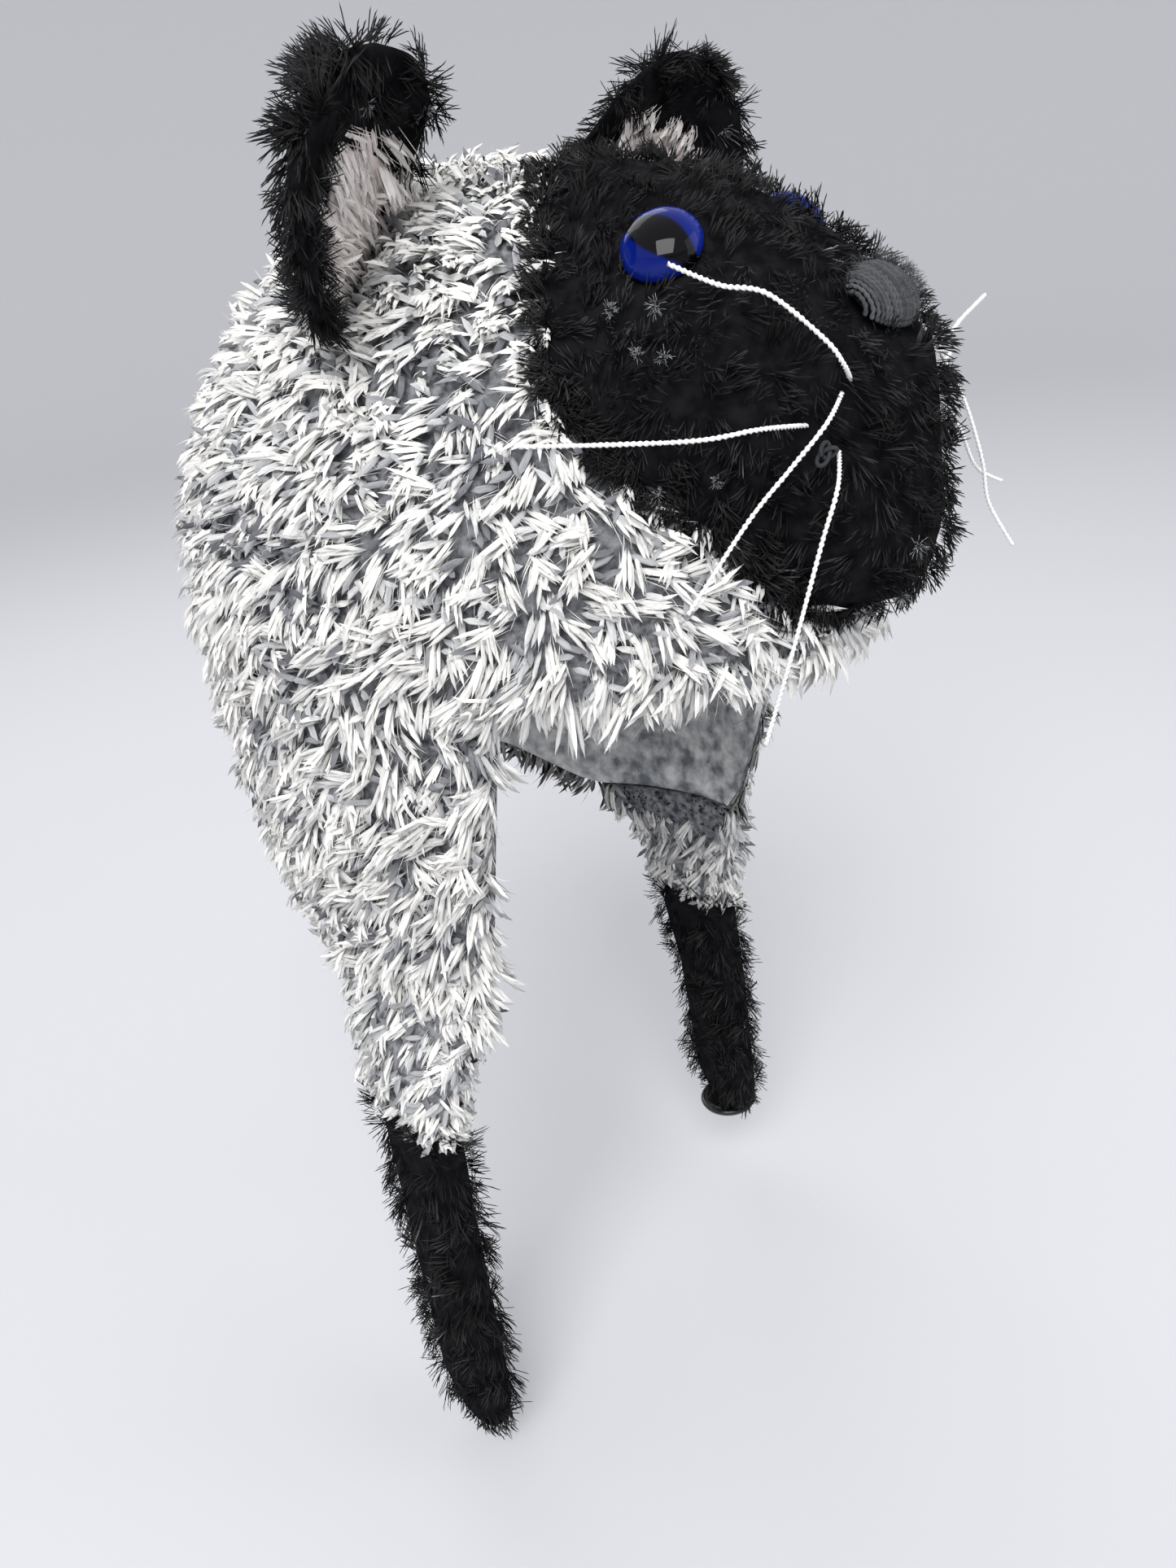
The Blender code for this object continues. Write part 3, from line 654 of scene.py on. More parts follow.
def liningPlace(side):
    # a thin pale pad lies in the cup under its fur
    def place(u, v):
        spread = liningPad["spread"] * math.cos(math.radians(liningPad["taper"] * v))
        turn = math.pi / 2 + spread * (2 * u - 1)
        share = liningPad["low"] + liningPad["reach"] * v
        return earPoint(side, turn, share, inset=ears["inset"]) + earFrames[side][3] * liningPad["lift"]

    return place


for side, word in bothSides:
    columns, rows = earCloth["columns"], earCloth["rows"]
    earBase = wrapGrid("ear" + word, columns, rows, earPlace(side), blackBacking, closeEnds=True)
    finishPiece(earBase, "dark_plush", "ear_" + word.lower())
    columns, rows, thickness = liningPad["columns"], liningPad["rows"], liningPad["thickness"]
    title = "ear" + word + "Lining"
    pad = wrapGrid(title, columns, rows, liningPlace(side), paleBacking, thickness=thickness)
    finishPiece(pad, "pale_lining", "ear_lining_" + word.lower())

strapCloth = {"columns": 30, "rows": 12, "endRows": 24}


def strapPlace(row, isEnd):
    def place(u, v):
        return strapPoint(row, 2 * math.pi * u, v, isEnd)

    return place


for row in strapSides:
    title, columns, rows = "strap" + row["word"], strapCloth["columns"], strapCloth["rows"]
    strapBase = wrapGrid(title, columns, rows, strapPlace(row, False), greyBacking, closeEnds=True)
    finishPiece(strapBase, "frosted_fur", "strap_" + row["cad"])
    title, rows = "strapEnd" + row["word"], strapCloth["endRows"]
    endBase = wrapGrid(title, columns, rows, strapPlace(row, True), blackBacking, closeEnds=True)
    finishPiece(endBase, "dark_plush", "strap_end_" + row["cad"])
print("cloth laid")


def makeStrand(segments, heights, widths):
    # a body of unit length that narrows to both ends: its rings' heights and widths are shares
    clearSelection()
    bpy.ops.mesh.primitive_uv_sphere_add(segments=segments, ring_count=len(heights) + 1, radius=1.0)
    ball = bpy.context.object
    points = np.array([tuple(vertex.co) for vertex in ball.data.vertices])
    ball.data.calc_loop_triangles()
    faces = np.array([tuple(face.vertices) for face in ball.data.loop_triangles])
    bpy.data.objects.remove(ball, do_unlink=True)
    levels = [-math.cos(math.pi * step / (len(heights) + 1)) for step in range(len(heights) + 2)]
    reach = np.linalg.norm(points[:, :2], axis=1)
    scale = np.interp(points[:, 2], levels, (0.0, *widths, 0.0)) / np.maximum(reach, 1e-6)
    points[:, :2] *= scale[:, None]
    points[:, 2] = np.interp(points[:, 2], levels, (0.0, *heights, 1.0))
    return points, faces


strands = {
    "hair": makeStrand(3, (0.42,), (1.0,)),
    "bristle": makeStrand(3, (0.74,), (1.0,)),
    "lock": makeStrand(3, (0.34, 0.76), (0.95, 0.92)),
}


# what all strands share: how they spread and bend, and where they lie on the tint's scale
strandLook = {
    "longest": 1.05,
    "leastBend": 0.15,
    "curl": 1.3,
    "skinShade": 0.7,
    "tintLow": 0.02,
    "tintHigh": 0.945,
    "fleckFrom": 0.97,
    "fleckTint": 0.985,
    "mapEdge": 0.02,
}


def hairArrays(roots, values):
    # on each root stands a tuft of hairs that leans along its flow
    count = values["hairs"]
    total = len(roots)
    strandPoints, strandFaces = strands[values["strand"]]
    spot, normal, flow = (
        np.array([tuple(root[key]) for root in roots])[:, None, None, :]
        for key in ("point", "normal", "flow")
    )
    length, leaned = (
        np.array([root[key] for root in roots])[:, None, None, None] for key in ("length", "lean")
    )
    tint = np.array([root["tint"] for root in roots])[:, None]
    side = np.cross(normal, flow)

    def wander(scale):
        return scatter.normal(0.0, scale, (total, count, 1, 1))

    angle = scatter.uniform(0.0, 2 * math.pi, (total, count))
    reach = np.sqrt(scatter.uniform(values["hollow"], 1.0, (total, count)))
    rootFlow = (np.cos(angle) * reach)[..., None, None] * values["spread"]
    rootSide = (np.sin(angle) * reach)[..., None, None] * values["spread"]
    tipFlow = rootFlow * values["gather"] + wander(values["stray"])
    tipSide = rootSide * values["gather"] + wander(values["stray"])
    swing = wander(values["swing"])
    hairFlow = flow * np.cos(swing) + side * np.sin(swing)
    hairSide = np.cross(normal, hairFlow)
    lean = leaned + wander(values["leanSpread"])
    bend = np.maximum(values["bend"] + wander(values["bendSpread"]), strandLook["leastBend"])
    rounded = (1.0 - values["round"] * reach ** 2)[..., None, None]
    lengths = scatter.uniform(values["shortest"], strandLook["longest"], (total, count))
    hairLength = length * lengths[..., None, None] * rounded

    along = strandPoints[:, 2][None, None, :, None]
    tilt = lean + bend * along
    rise, travel = np.sin(tilt) - np.sin(lean), np.cos(lean) - np.cos(tilt)
    centre = (normal * rise + hairFlow * travel) * hairLength / bend
    share = along ** strandLook["curl"]
    lateral = flow * (rootFlow + (tipFlow - rootFlow) * share)
    lateral = lateral + side * (rootSide + (tipSide - rootSide) * share)
    way = normal * np.cos(tilt) + hairFlow * np.sin(tilt)
    rim = np.cross(way, hairSide)
    ringA = strandPoints[:, 0][None, None, :, None]
    ringB = strandPoints[:, 1][None, None, :, None]
    own = hairSide * ringA + rim * ringB
    points = (spot + centre + lateral + own * values["radius"]).reshape(-1, 3)
    # the shading follows the skin and the tuft more than the single hair, so the fur looks soft
    tuft = (flow * rootFlow + side * rootSide) / values["spread"]
    soft = normal * strandLook["skinShade"] + tuft * values["tuftShade"] + own * values["ownShade"]
    soft = soft.reshape(-1, 3)
    soft /= np.linalg.norm(soft, axis=1)[:, None]

    hairs = total * count
    perHair = len(strandPoints)
    faces = (strandFaces[None] + (np.arange(hairs) * perHair)[:, None, None]).reshape(-1, 3)
    # the tint also changes a little round a strand, so that the material can draw fibres along it
    hairTint = (tint + scatter.normal(0.0, values["tintSpread"], (total, count)))[..., None]
    turn = np.arctan2(strandPoints[:, 1], strandPoints[:, 0]) + angle[..., None]
    hairTint = hairTint + values["streak"] * np.cos(turn)
    hairTint = np.clip(hairTint, strandLook["tintLow"], strandLook["tintHigh"])
    hairTint = np.where(tint[..., None] > strandLook["fleckFrom"], strandLook["fleckTint"], hairTint)
    corner, low = faces.ravel(), strandLook["mapEdge"]
    height = np.tile(low + (1 - 2 * low) * strandPoints[:, 2], hairs)
    layer = np.stack([hairTint.reshape(-1)[corner], height[corner]], axis=1)
    return points, soft, faces, layer


def growFur(name, groups, material, slot):
    # joins all the tufts of a piece into one mesh
    points, soft, faces, layers, first = [], [], [], [], 0
    for roots, values in groups:
        if not roots:
            continue
        made = hairArrays(roots, values)
        points.append(made[0])
        soft.append(made[1])
        faces.append(made[2] + first)
        layers.append(made[3])
        first += len(made[0])
    points, soft, faces, layers = (np.concatenate(part) for part in (points, soft, faces, layers))
    mesh = bpy.data.meshes.new(name)
    mesh.vertices.add(len(points))
    mesh.vertices.foreach_set("co", points.ravel())
    mesh.loops.add(len(faces) * 3)
    mesh.loops.foreach_set("vertex_index", faces.ravel())
    mesh.polygons.add(len(faces))
    mesh.polygons.foreach_set("loop_start", np.arange(len(faces)) * 3)
    mesh.polygons.foreach_set("use_smooth", np.ones(len(faces), dtype=bool))
    mesh.uv_layers.new(name="OFBake").data.foreach_set("uv", layers.ravel())
    mesh.update()
    mesh.validate()
    mesh.normals_split_custom_set_from_vertices(soft.tolist())
    mesh.materials.append(material)
    piece = bpy.data.objects.new(name, mesh)
    bpy.context.scene.collection.objects.link(piece)
    finishPiece(piece, slot)
    print(name, len(faces), "triangles")


def makeRoot(point, normal, flow, length, tint, lean):
    flow = flow - normal * flow.dot(normal)
    return {
        "point": point,
        "normal": normal,
        "flow": flow.normalized(),
        "length": length,
        "tint": tint,
        "lean": lean,
    }


def turned(flow, normal, degrees):
    return Matrix.Rotation(math.radians(degrees), 3, normal) @ flow


def drift(point, scale, seed):
    # a slow wander over the surface, from -1 to 1
    return noise.noise(point * scale + Vector((seed, seed * 0.7, -seed)))


def greyPatch(point):
    # the frosted yarn is grey in patches, some broad and some small
    return drift(point, 62.0, 9.4) + 0.5 * drift(point, 140.0, 4.4)


def keepTint(tint, most=0.93):
    return min(max(tint, 0.03), most)


def runLength(line):
    return sum((b - a).length for a, b in zip(line, line[1:]))


# a tuft strays from its place by this share of the spacing
strayShare = 0.4

# the crown's white tufts: fine hairs here, then thick locks, then the grey undercoat between them
crownFur = {
    "strand": "hair",
    "hairs": 5,
    "hollow": 0.30,
    "spacing": 0.0056,
    "spread": 0.0026,
    "gather": 0.95,
    "stray": 0.0008,
    "swing": 0.20,
    "lean": 0.58,
    "leanSpread": 0.16,
    "bend": 0.90,
    "bendSpread": 0.20,
    "shortest": 0.80,
    "round": 0.12,
    "radius": 0.00017,
    "tuftShade": 0.5,
    "ownShade": 0.35,
    "tintSpread": 0.06,
    "streak": 0.0,
    "lock": 0.0122,
    "swirl": 95.0,
    "jitter": 34.0,
    "backward": 0.40,
    "tint": 0.16,
    "patch": 0.40,
    "tintDraw": (-0.12, 0.14),
    "lengthDraw": (0.82, 1.12),
}
lockFur = dict(
    crownFur,
    strand="lock",
    hairs=6,
    hollow=0.05,
    spread=0.0017,
    gather=0.90,
    stray=0.0003,
    swing=0.14,
    leanSpread=0.12,
    bendSpread=0.12,
    shortest=0.72,
    round=0.0,
    radius=0.00060,
    ownShade=0.45,
    streak=0.05,
)
underFur = dict(
    lockFur,
    hairs=2,
    spread=0.0030,
    gather=1.1,
    stray=0.0010,
    swing=0.8,
    leanSpread=0.25,
    radius=0.0010,
    tintSpread=0.10,
    streak=0.06,
    lock=0.0088,
    tint=0.74,
    patch=0.55,
    tintDraw=(-0.08, 0.08),
)
# the fringe of the front brim stands out below the muzzle
brimFur = dict(crownFur, bend=0.75, lock=0.0150)
brimLocks = dict(lockFur, bend=0.75, radius=0.00070)
# lengths in metres, spreads in degrees; the rest are shares
crownPlan = {
    "topPath": 0.078,
    "backFrom": 118.0,
    "brimSpread": 50.0,
    "footInset": 0.0045,
    "earClear": 0.011,
    "earPush": 2.5,
    "earShort": 0.72,
    "sunk": 0.001,
    "shorterInGrey": 0.45,
    "darkTufts": 0.06,
    "darkInGrey": 0.30,
    "darker": 0.30,
    "leanDraw": 0.12,
    "hemStep": 0.0032,
    "hemRadius": 0.085,
    "insideRadius": 0.086,
    "hemSlope": 0.0015,
    "hemLean": 0.9,
    "brimLean": 0.45,
}


def earFeet(side, inset):
    count = 32
    ring = [earPoint(side, 2 * math.pi * step / count, 0.0, inset=inset) for step in range(count)]
    return [dropToCrown(point, earFrames[side][2], head["wall"]) for point in ring]


footPlans = {}
for side in (-1, 1):
    ring = earFeet(side, crownPlan["footInset"])
    middle = sum(ring, Vector()) / len(ring)
    outward = (middle - Vector((0.0, 0.0, -head["dome"]))).normalized()
    along = earFrames[side][1]
    across = outward.cross(along).normalized()
    plan = [((point - middle).dot(along), (point - middle).dot(across)) for point in ring]
    footPlans[side] = (middle, along, across, plan, earFeet(side, 0.0))


def underEar(point):
    # whether a point of the crown lies inside an ear's foot
    for middle, along, across, plan, _ in footPlans.values():
        away = point - middle
        if away.length > 0.05:
            continue
        u, w = away.dot(along), away.dot(across)
        inside = False
        for (ax, ay), (bx, by) in zip(plan, plan[1:] + plan[:1]):
            if (ay > w) != (by > w) and u < (bx - ax) * (w - ay) / (by - ay) + ax:
                inside = not inside
        if inside:
            return True
    return False


def crownTuft(around, path, values, edgeLock=False):
    centre = onForm(around, path, head["wall"] - crownPlan["sunk"])
    normal = (onForm(around, path, 0.010) - onForm(around, path, 0.0)).normalized()
    down = onForm(around, path + 0.002, 0.0) - onForm(around, max(path - 0.002, 0.0), 0.0)
    if down.length < 1e-6:
        down = Vector((0.0, -1.0, 0.0))
    down.normalize()
    sign = 1.0 if (around + 180.0) % 360.0 > 180.0 else -1.0
    level = max(path, 0.01)
    backWay = (onForm(around + sign, level, 0.0) - onForm(around, level, 0.0)).normalized()
    under = values is underFur
    flow = down + backWay * crownFur["backward"] * min(sideAngle(around) / 60.0, 1.0)
    wander = drift(centre, 55.0, 3.1) * values["swirl"] + draw.gauss(0.0, values["jitter"])
    flow = turned(flow.normalized(), normal, wander * (2.0 if under else 1.0))
    grey = greyPatch(centre)
    length = values["lock"] * draw.uniform(*values["lengthDraw"])
    tint = values["tint"] + values["patch"] * grey + draw.uniform(*values["tintDraw"])
    if not under:
        length *= 1.0 - crownPlan["shorterInGrey"] * max(grey, 0.0)
        if draw.random() < crownPlan["darkTufts"] + crownPlan["darkInGrey"] * max(grey, 0.0):
            tint += crownPlan["darker"]
    # round an ear's foot the fur is pushed aside and shorter
    clear, short = crownPlan["earClear"], crownPlan["earShort"]
    for plan in footPlans.values():
        away = min((centre - foot for foot in plan[4]), key=lambda way: way.length)
        if away.length < clear:
            push = (away - normal * away.dot(normal)).normalized()
            flow = (flow + push * crownPlan["earPush"] * (1 - away.length / clear)).normalized()
            length *= short + (1 - short) * away.length / clear
    lean = values["lean"] + draw.gauss(0.0, crownPlan["leanDraw"])
    if edgeLock:
        normal += down * crownPlan["brimLean" if values is brimFur else "hemLean"]
        normal.normalize()
    return makeRoot(centre, normal, flow, length, keepTint(tint), max(lean, 0.05))


def crownPart(around, path):
    angle = (around + 180.0) % 360.0 - 180.0
    if path < crownPlan["topPath"]:
        return "Top"
    if abs(angle) > crownPlan["backFrom"]:
        return "Back"
    return "Right" if angle < 0 else "Left"


def plantCrown():
    parts = {part: ([], [], []) for part in ("Top", "Back", "Right", "Left")}
    for index, values in enumerate((crownFur, underFur)):
        spacing = values["spacing"]
        for row in range(int((domePath + edge["flap"]) / spacing) + 1):
            path = spacing * (row + 0.3)
            here = onForm(90.0, path, head["wall"])
            ahead = onForm(0.0, path, head["wall"])
            girth = 2 * math.pi * math.sqrt((here.x ** 2 + ahead.y ** 2) / 2)
            columns = max(5, round(girth / spacing))
            for column in range(columns):
                shift = 0.5 * (row % 2) + draw.uniform(-strayShare, strayShare)
                around = 360.0 * (column + shift) / columns
                down = max(path + draw.uniform(-strayShare, strayShare) * spacing, 0.0005)
                if down > domePath + edgeDrop(around) - 0.001:
                    continue
                if down < domePath * 1.02 and inFace(around, math.degrees(down / head["dome"]), -0.8):
                    continue
                if underEar(onForm(around, down, head["wall"])):
                    continue
                parts[crownPart(around, down)][index].append(crownTuft(around, down, values))
    # the hem's own tufts hang over the edge
    around = -180.0
    while around < 180.0:
        drop = domePath + edgeDrop(around)
        slope = abs(edgeDrop(around + 0.5) - edgeDrop(around - 0.5))
        atBrim = sideAngle(around) < crownPlan["brimSpread"]
        values, index = (brimFur, 2) if atBrim else (crownFur, 0)
        tuft = crownTuft(around, drop - draw.uniform(0.0005, 0.003), values, edgeLock=True)
        parts[crownPart(around, drop)][index].append(tuft)
        stride = math.degrees(crownPlan["hemStep"] / crownPlan["hemRadius"])
        around += stride / (1 + slope / crownPlan["hemSlope"])
    for part, (tufts, coat, brim) in parts.items():
        groups = [(tufts, crownFur), (tufts, lockFur), (coat, underFur)]
        groups += [(brim, brimFur), (brim, brimLocks)]
        growFur("crownFur" + part, groups, frostedFur, "frosted_fur")


plantCrown()

# short fuzz on the crochet inside
insideFur = dict(crownFur, hairs=3, lock=0.0045, spacing=0.0095, spread=0.0048, gather=1.1, swing=0.7)


def plantInside():
    roots = []
    spacing = insideFur["spacing"]
    for row in range(int((domePath + edge["flap"]) / spacing) + 1):
        path = spacing * (row + 0.5)
        radius = crownPlan["insideRadius"] * math.sin(min(path / head["dome"], math.pi / 2))
        columns = max(4, round(2 * math.pi * radius / spacing))
        for column in range(columns):
            around = 360.0 * (column + draw.uniform(-strayShare, strayShare)) / columns
            if path > domePath + edgeDrop(around) - 0.002:
                continue
            point = onForm(around, path, head["wall"] - 0.0030)
            normal = (onForm(around, path, 0.0) - onForm(around, path, 0.010)).normalized()
            down = onForm(around, path + 0.002, 0.0) - onForm(around, path - 0.002, 0.0)
            flow = turned(down.normalized(), normal, draw.uniform(-120.0, 120.0))
            tint = 0.55 + 0.5 * drift(point, 90.0, 1.4) + draw.uniform(-0.2, 0.2)
            roots.append(makeRoot(point, normal, flow, insideFur["lock"], keepTint(tint), 0.5))
    growFur("crownFuzzInside", ((roots, insideFur),), frostedFur, "frosted_fur")


plantInside()

# the muzzle's black plush, with white flecks given as degrees round, share of the fall and size
muzzleFur = {
    "strand": "bristle",
    "hairs": 16,
    "hollow": 0.0,
    "spacing": 0.0058,
    "spread": 0.0021,
    "gather": 1.45,
    "stray": 0.0004,
    "swing": 0.30,
    "lean": 0.25,
    "leanSpread": 0.12,
    "bend": 0.60,
    "bendSpread": 0.25,
    "shortest": 0.78,
    "round": 0.20,
    "radius": 0.00029,
    "tuftShade": 1.0,
    "ownShade": 0.5,
    "tintSpread": 0.08,
    "streak": 0.0,
    "lock": 0.0072,
    "swirl": 200.0,
    "jitter": 45.0,
    "leanDraw": 0.42,
    "tint": 0.50,
    "patch": 0.45,
    "tintDraw": (-0.2, 0.2),
    "lengthDraw": (0.80, 1.20),
    "sunk": 0.0008,
    "rimTufts": 200,
    "noseClear": 1.15,
}
fleckFur = dict(
    muzzleFur,
    hairs=22,
    spread=0.0008,
    gather=1.5,
    swing=1.2,
    leanSpread=0.6,
    radius=0.00007,
    lock=0.0024,
    tint=0.985,
    lift=0.0042,
)
flecks = (
    (-34.2, 0.464, 0.8),
    (-29.3, 0.491, 1.0),
    (-33.1, 0.541, 0.8),
    (-30.5, 0.560, 0.7),
    (-26.4, 0.724, 0.7),
    (-34.8, 0.730, 0.7),
    (-6.0, 0.882, 1.2),
    (-5.7, 0.943, 1.2),
    (-7.5, 0.960, 1.0),
    (22.0, 0.52, 0.8),
    (31.0, 0.62, 0.7),
    (15.0, 0.80, 0.8),
)

# the eye's slit: its way in the picture, its middle on the eye's map, its half width and its narrowing
eyes = {
    "place": (24.1, 0.389),
    "diameter": 0.0185,
    "height": 0.0062,
    "domeShare": 0.8,
    "mapReach": 2.4,
    "slit": (0.80, -0.60),
    "slitMiddle": (0.56, 0.46),
    "slitHalf": 0.175,
    "slitNarrow": 0.85,
}
nose = {
    "fall": 0.575,
    "halfWidth": 0.013,
    "halfLength": 0.0085,
    "height": 0.0055,
    "domeShare": 0.8,
    "padInset": 0.0008,
    "threads": 25,
    "threadRadius": 0.00062,
    "threadSides": 7,
    "threadTwist": 330.0,
    "threadPly": 0.35,
    "fuzz": 110,
    "fuzzLength": 0.0042,
}


def plushRoot(point, normal, down, values, tint=None):
    # all plush strays as the muzzle's does
    wander = drift(point, 75.0, 6.3) * muzzleFur["swirl"] + draw.gauss(0.0, muzzleFur["jitter"])
    flow = turned(down, normal, wander)
    if tint is None:
        tint = muzzleFur["tint"] + muzzleFur["patch"] * drift(point, 120.0, 2.2)
        tint = keepTint(tint + draw.uniform(*muzzleFur["tintDraw"]), 0.92)
    lean = max(values["lean"] + abs(draw.gauss(0.0, muzzleFur["leanDraw"])), 0.0)
    length = values["lock"] * draw.uniform(*muzzleFur["lengthDraw"])
    return makeRoot(point - normal * muzzleFur["sunk"], normal, flow, length, tint, lean)


def plantMuzzle():
    roots = []
    spacing = muzzleFur["spacing"]
    eyePlaces = [onFace(side * eyes["place"][0], eyes["place"][1]) for side in (-1, 1)]
    nosePlace = onFace(0.0, nose["fall"])
    share = 0.0
    while share <= 1.0:
        half = faceSpreadAt(share)
        line = [onFace(half * (step / 20.0 - 1.0), share) for step in range(41)]
        columns = max(1, round(runLength(line) / spacing))
        for column in range(columns):
            stray = draw.uniform(-strayShare, strayShare)
            around = half * (2 * (column + 0.5 + stray) / columns - 1)
            level = min(max(share + draw.uniform(-strayShare, strayShare) * 0.02, 0.0), 1.0)
            point = onFace(around, level)
            if min((point - place).length for place in eyePlaces) < eyes["diameter"] / 2 - 0.0002:
                continue
            if (point - nosePlace).length < nose["halfLength"] * muzzleFur["noseClear"]:
                continue
            down = onFace(around, level + 0.01) - onFace(around, level - 0.01)
            roots.append(plushRoot(point, faceNormal(around, level), down.normalized(), muzzleFur))
        stepDown = (onFace(0.0, min(share + 0.01, 1.0)) - onFace(0.0, share)).length
        share += spacing * 0.01 / max(stepDown, 0.0006)
    # a denser rim, so that the black edge covers the cloth
    middle = onForm(0.0, pathAt(fallDegrees(0.5)), faceSeat)
    for step in range(muzzleFur["rimTufts"]):
        spread, fall = outlinePoint(step / (muzzleFur["rimTufts"] - 1))
        for side in (-1, 1):
            path = pathAt(fall)
            point = onForm(side * spread, path, faceSeat + faceForm["edge"] * 0.6)
            outward = (point - middle).normalized()
            normal = (onForm(side * spread, path, 0.02) - point).normalized()
            roots.append(plushRoot(point, (normal + outward * 0.8).normalized(), outward, muzzleFur))
    white = []
    for around, share, size in flecks:
        normal = faceNormal(around, share)
        down = (onFace(around, share + 0.01) - onFace(around, share - 0.01)).normalized()
        place = onFace(around, share) + normal * fleckFur["lift"]
        for _ in range(2):
            root = plushRoot(place, normal, down, fleckFur, fleckFur["tint"])
            root["length"] = fleckFur["lock"] * size
            white.append(root)
    growFur("muzzleFur", ((roots, muzzleFur), (white, fleckFur)), blackPlush, "dark_plush")


plantMuzzle()

def skinFrame(skin, turn, share, step, inside):
    # a point of a skin, its outward normal and its way along
    point = skin(turn, share)
    across = skin(turn + step, share) - skin(turn - step, share)
    along = skin(turn, min(share + 0.02, 1.0)) - skin(turn, max(share - 0.02, 0.0))
    normal = across.cross(along).normalized()
    if normal.dot(point - inside) < 0:
        normal.negate()
    return point, normal, along.normalized()


# ears: black plush outside and on the rim, pale fur in the cup, and flecks given as turn, height and size
earFur = dict(muzzleFur, lean=0.40, lock=0.0086)
liningFur = dict(crownFur, hairs=8, lock=0.0100)
liningLocks = dict(lockFur, hairs=2, radius=0.00060)
liningZone = {"high": 0.72, "spread": 0.98, "taper": 70.0, "lean": 0.50, "turnDraw": 0.12, "levelDraw": 0.05}
earPlan = {"stray": 0.35, "tipTufts": 46, "tipInset": 0.003, "fleckLift": 0.005}
earFlecks = ((0.55, 0.30, 1.2), (1.9, 0.86, 0.9), (2.6, 0.55, 0.8), (4.2, 0.5, 0.8), (5.0, 0.8, 0.8))


def earSkin(side, turn, share):
    def skin(around, level):
        return earPoint(side, around, level, ears["inset"])

    inside = earPoint(side, turn, share, ears["inset"] + earPlan["tipInset"])
    return skinFrame(skin, turn, share, 0.06, inside)


def plantEar(side, word):
    black, pale, white = [], [], []
    rows, stray = round(ears["height"] / earFur["spacing"]), earPlan["stray"]
    for row in range(rows + 1):
        share = row / rows
        ring = [earPoint(side, 2 * math.pi * step / 40, share, ears["inset"]) for step in range(41)]
        columns = round(runLength(ring) / earFur["spacing"])
        for column in range(columns):
            turn = 2 * math.pi * (column + draw.uniform(-stray, stray)) / columns
            level = min(max(share + draw.uniform(-stray, stray) / rows, 0.0), 1.0)
            point, normal, above = earSkin(side, turn, level)
            reach = min(level / liningZone["high"], 1.0)
            spread = liningZone["spread"] * math.cos(math.radians(liningZone["taper"] * reach))
            if math.sin(turn) > 0 and level < liningZone["high"] and abs(turn - math.pi / 2) < spread:
                for _ in range(3):
                    nearby = turn + draw.uniform(-liningZone["turnDraw"], liningZone["turnDraw"])
                    high = level + draw.uniform(-liningZone["levelDraw"], liningZone["levelDraw"])
                    point, normal, above = earSkin(side, nearby, max(high, 0.0))
                    root = plushRoot(point, normal, -above, liningFur, draw.uniform(0.05, 0.7))
                    root["lean"] = liningZone["lean"] + draw.gauss(0.0, 0.15)
                    root["flow"] = turned(-above, normal, draw.gauss(0.0, 28.0))
                    pale.append(root)
            else:
                black.append(plushRoot(point, normal, -above, earFur))
    # the tip is closed with a cap of tufts
    up = earFrames[side][2]
    deeper = earPlan["tipInset"]
    for _ in range(earPlan["tipTufts"]):
        turn, inset = draw.uniform(0.0, 2 * math.pi), ears["inset"] + draw.uniform(0.0, deeper)
        point = earPoint(side, turn, 1.0, inset)
        normal = (up + (point - earPoint(side, turn, 1.0, inset + deeper)) * 40).normalized()
        black.append(plushRoot(point, normal, earFrames[side][1], earFur))
    for turn, level, size in earFlecks:
        point, normal, above = earSkin(side, turn if side < 0 else math.pi - turn, level)
        place = point + normal * earPlan["fleckLift"]
        root = plushRoot(place, normal, -above, fleckFur, fleckFur["tint"])
        root["length"] = fleckFur["lock"] * size
        white.append(root)
    growFur("ear" + word + "Fur", ((black, earFur), (white, fleckFur)), blackPlush, "dark_plush")
    growFur("ear" + word + "LiningFur", ((pale, liningFur), (pale, liningLocks)), paleLining, "pale_lining")


for side, word in bothSides:
    plantEar(side, word)

# straps and their dark ends
strapFur = dict(crownFur, lock=0.0104, tint=0.20, patch=0.30, tintDraw=(-0.12, 0.20), swirl=60.0)
endFur = dict(muzzleFur, hairs=13, lean=0.45, lock=0.0098)
# towards the pale strap's foot its fur lies down; the dark end's first tufts stand up and its last are short
strapPlan = {
    "sunk": 0.001,
    "lowFrom": 0.55,
    "lowShort": 0.45,
    "coatTint": 0.70,
    "coatLean": 0.35,
    "coatShort": 0.4,
    "upTo": 0.07,
    "shortFrom": 0.92,
    "short": 0.55,
    "tipTufts": 30,
    "tipShort": 0.35,
}


def strapSkin(row, angle, share, isEnd):
    def skin(around, level):
        return strapPoint(row, around, level, isEnd)

    return skinFrame(skin, angle, share, 0.1, (skin(0.0, share) + skin(math.pi, share)) / 2)


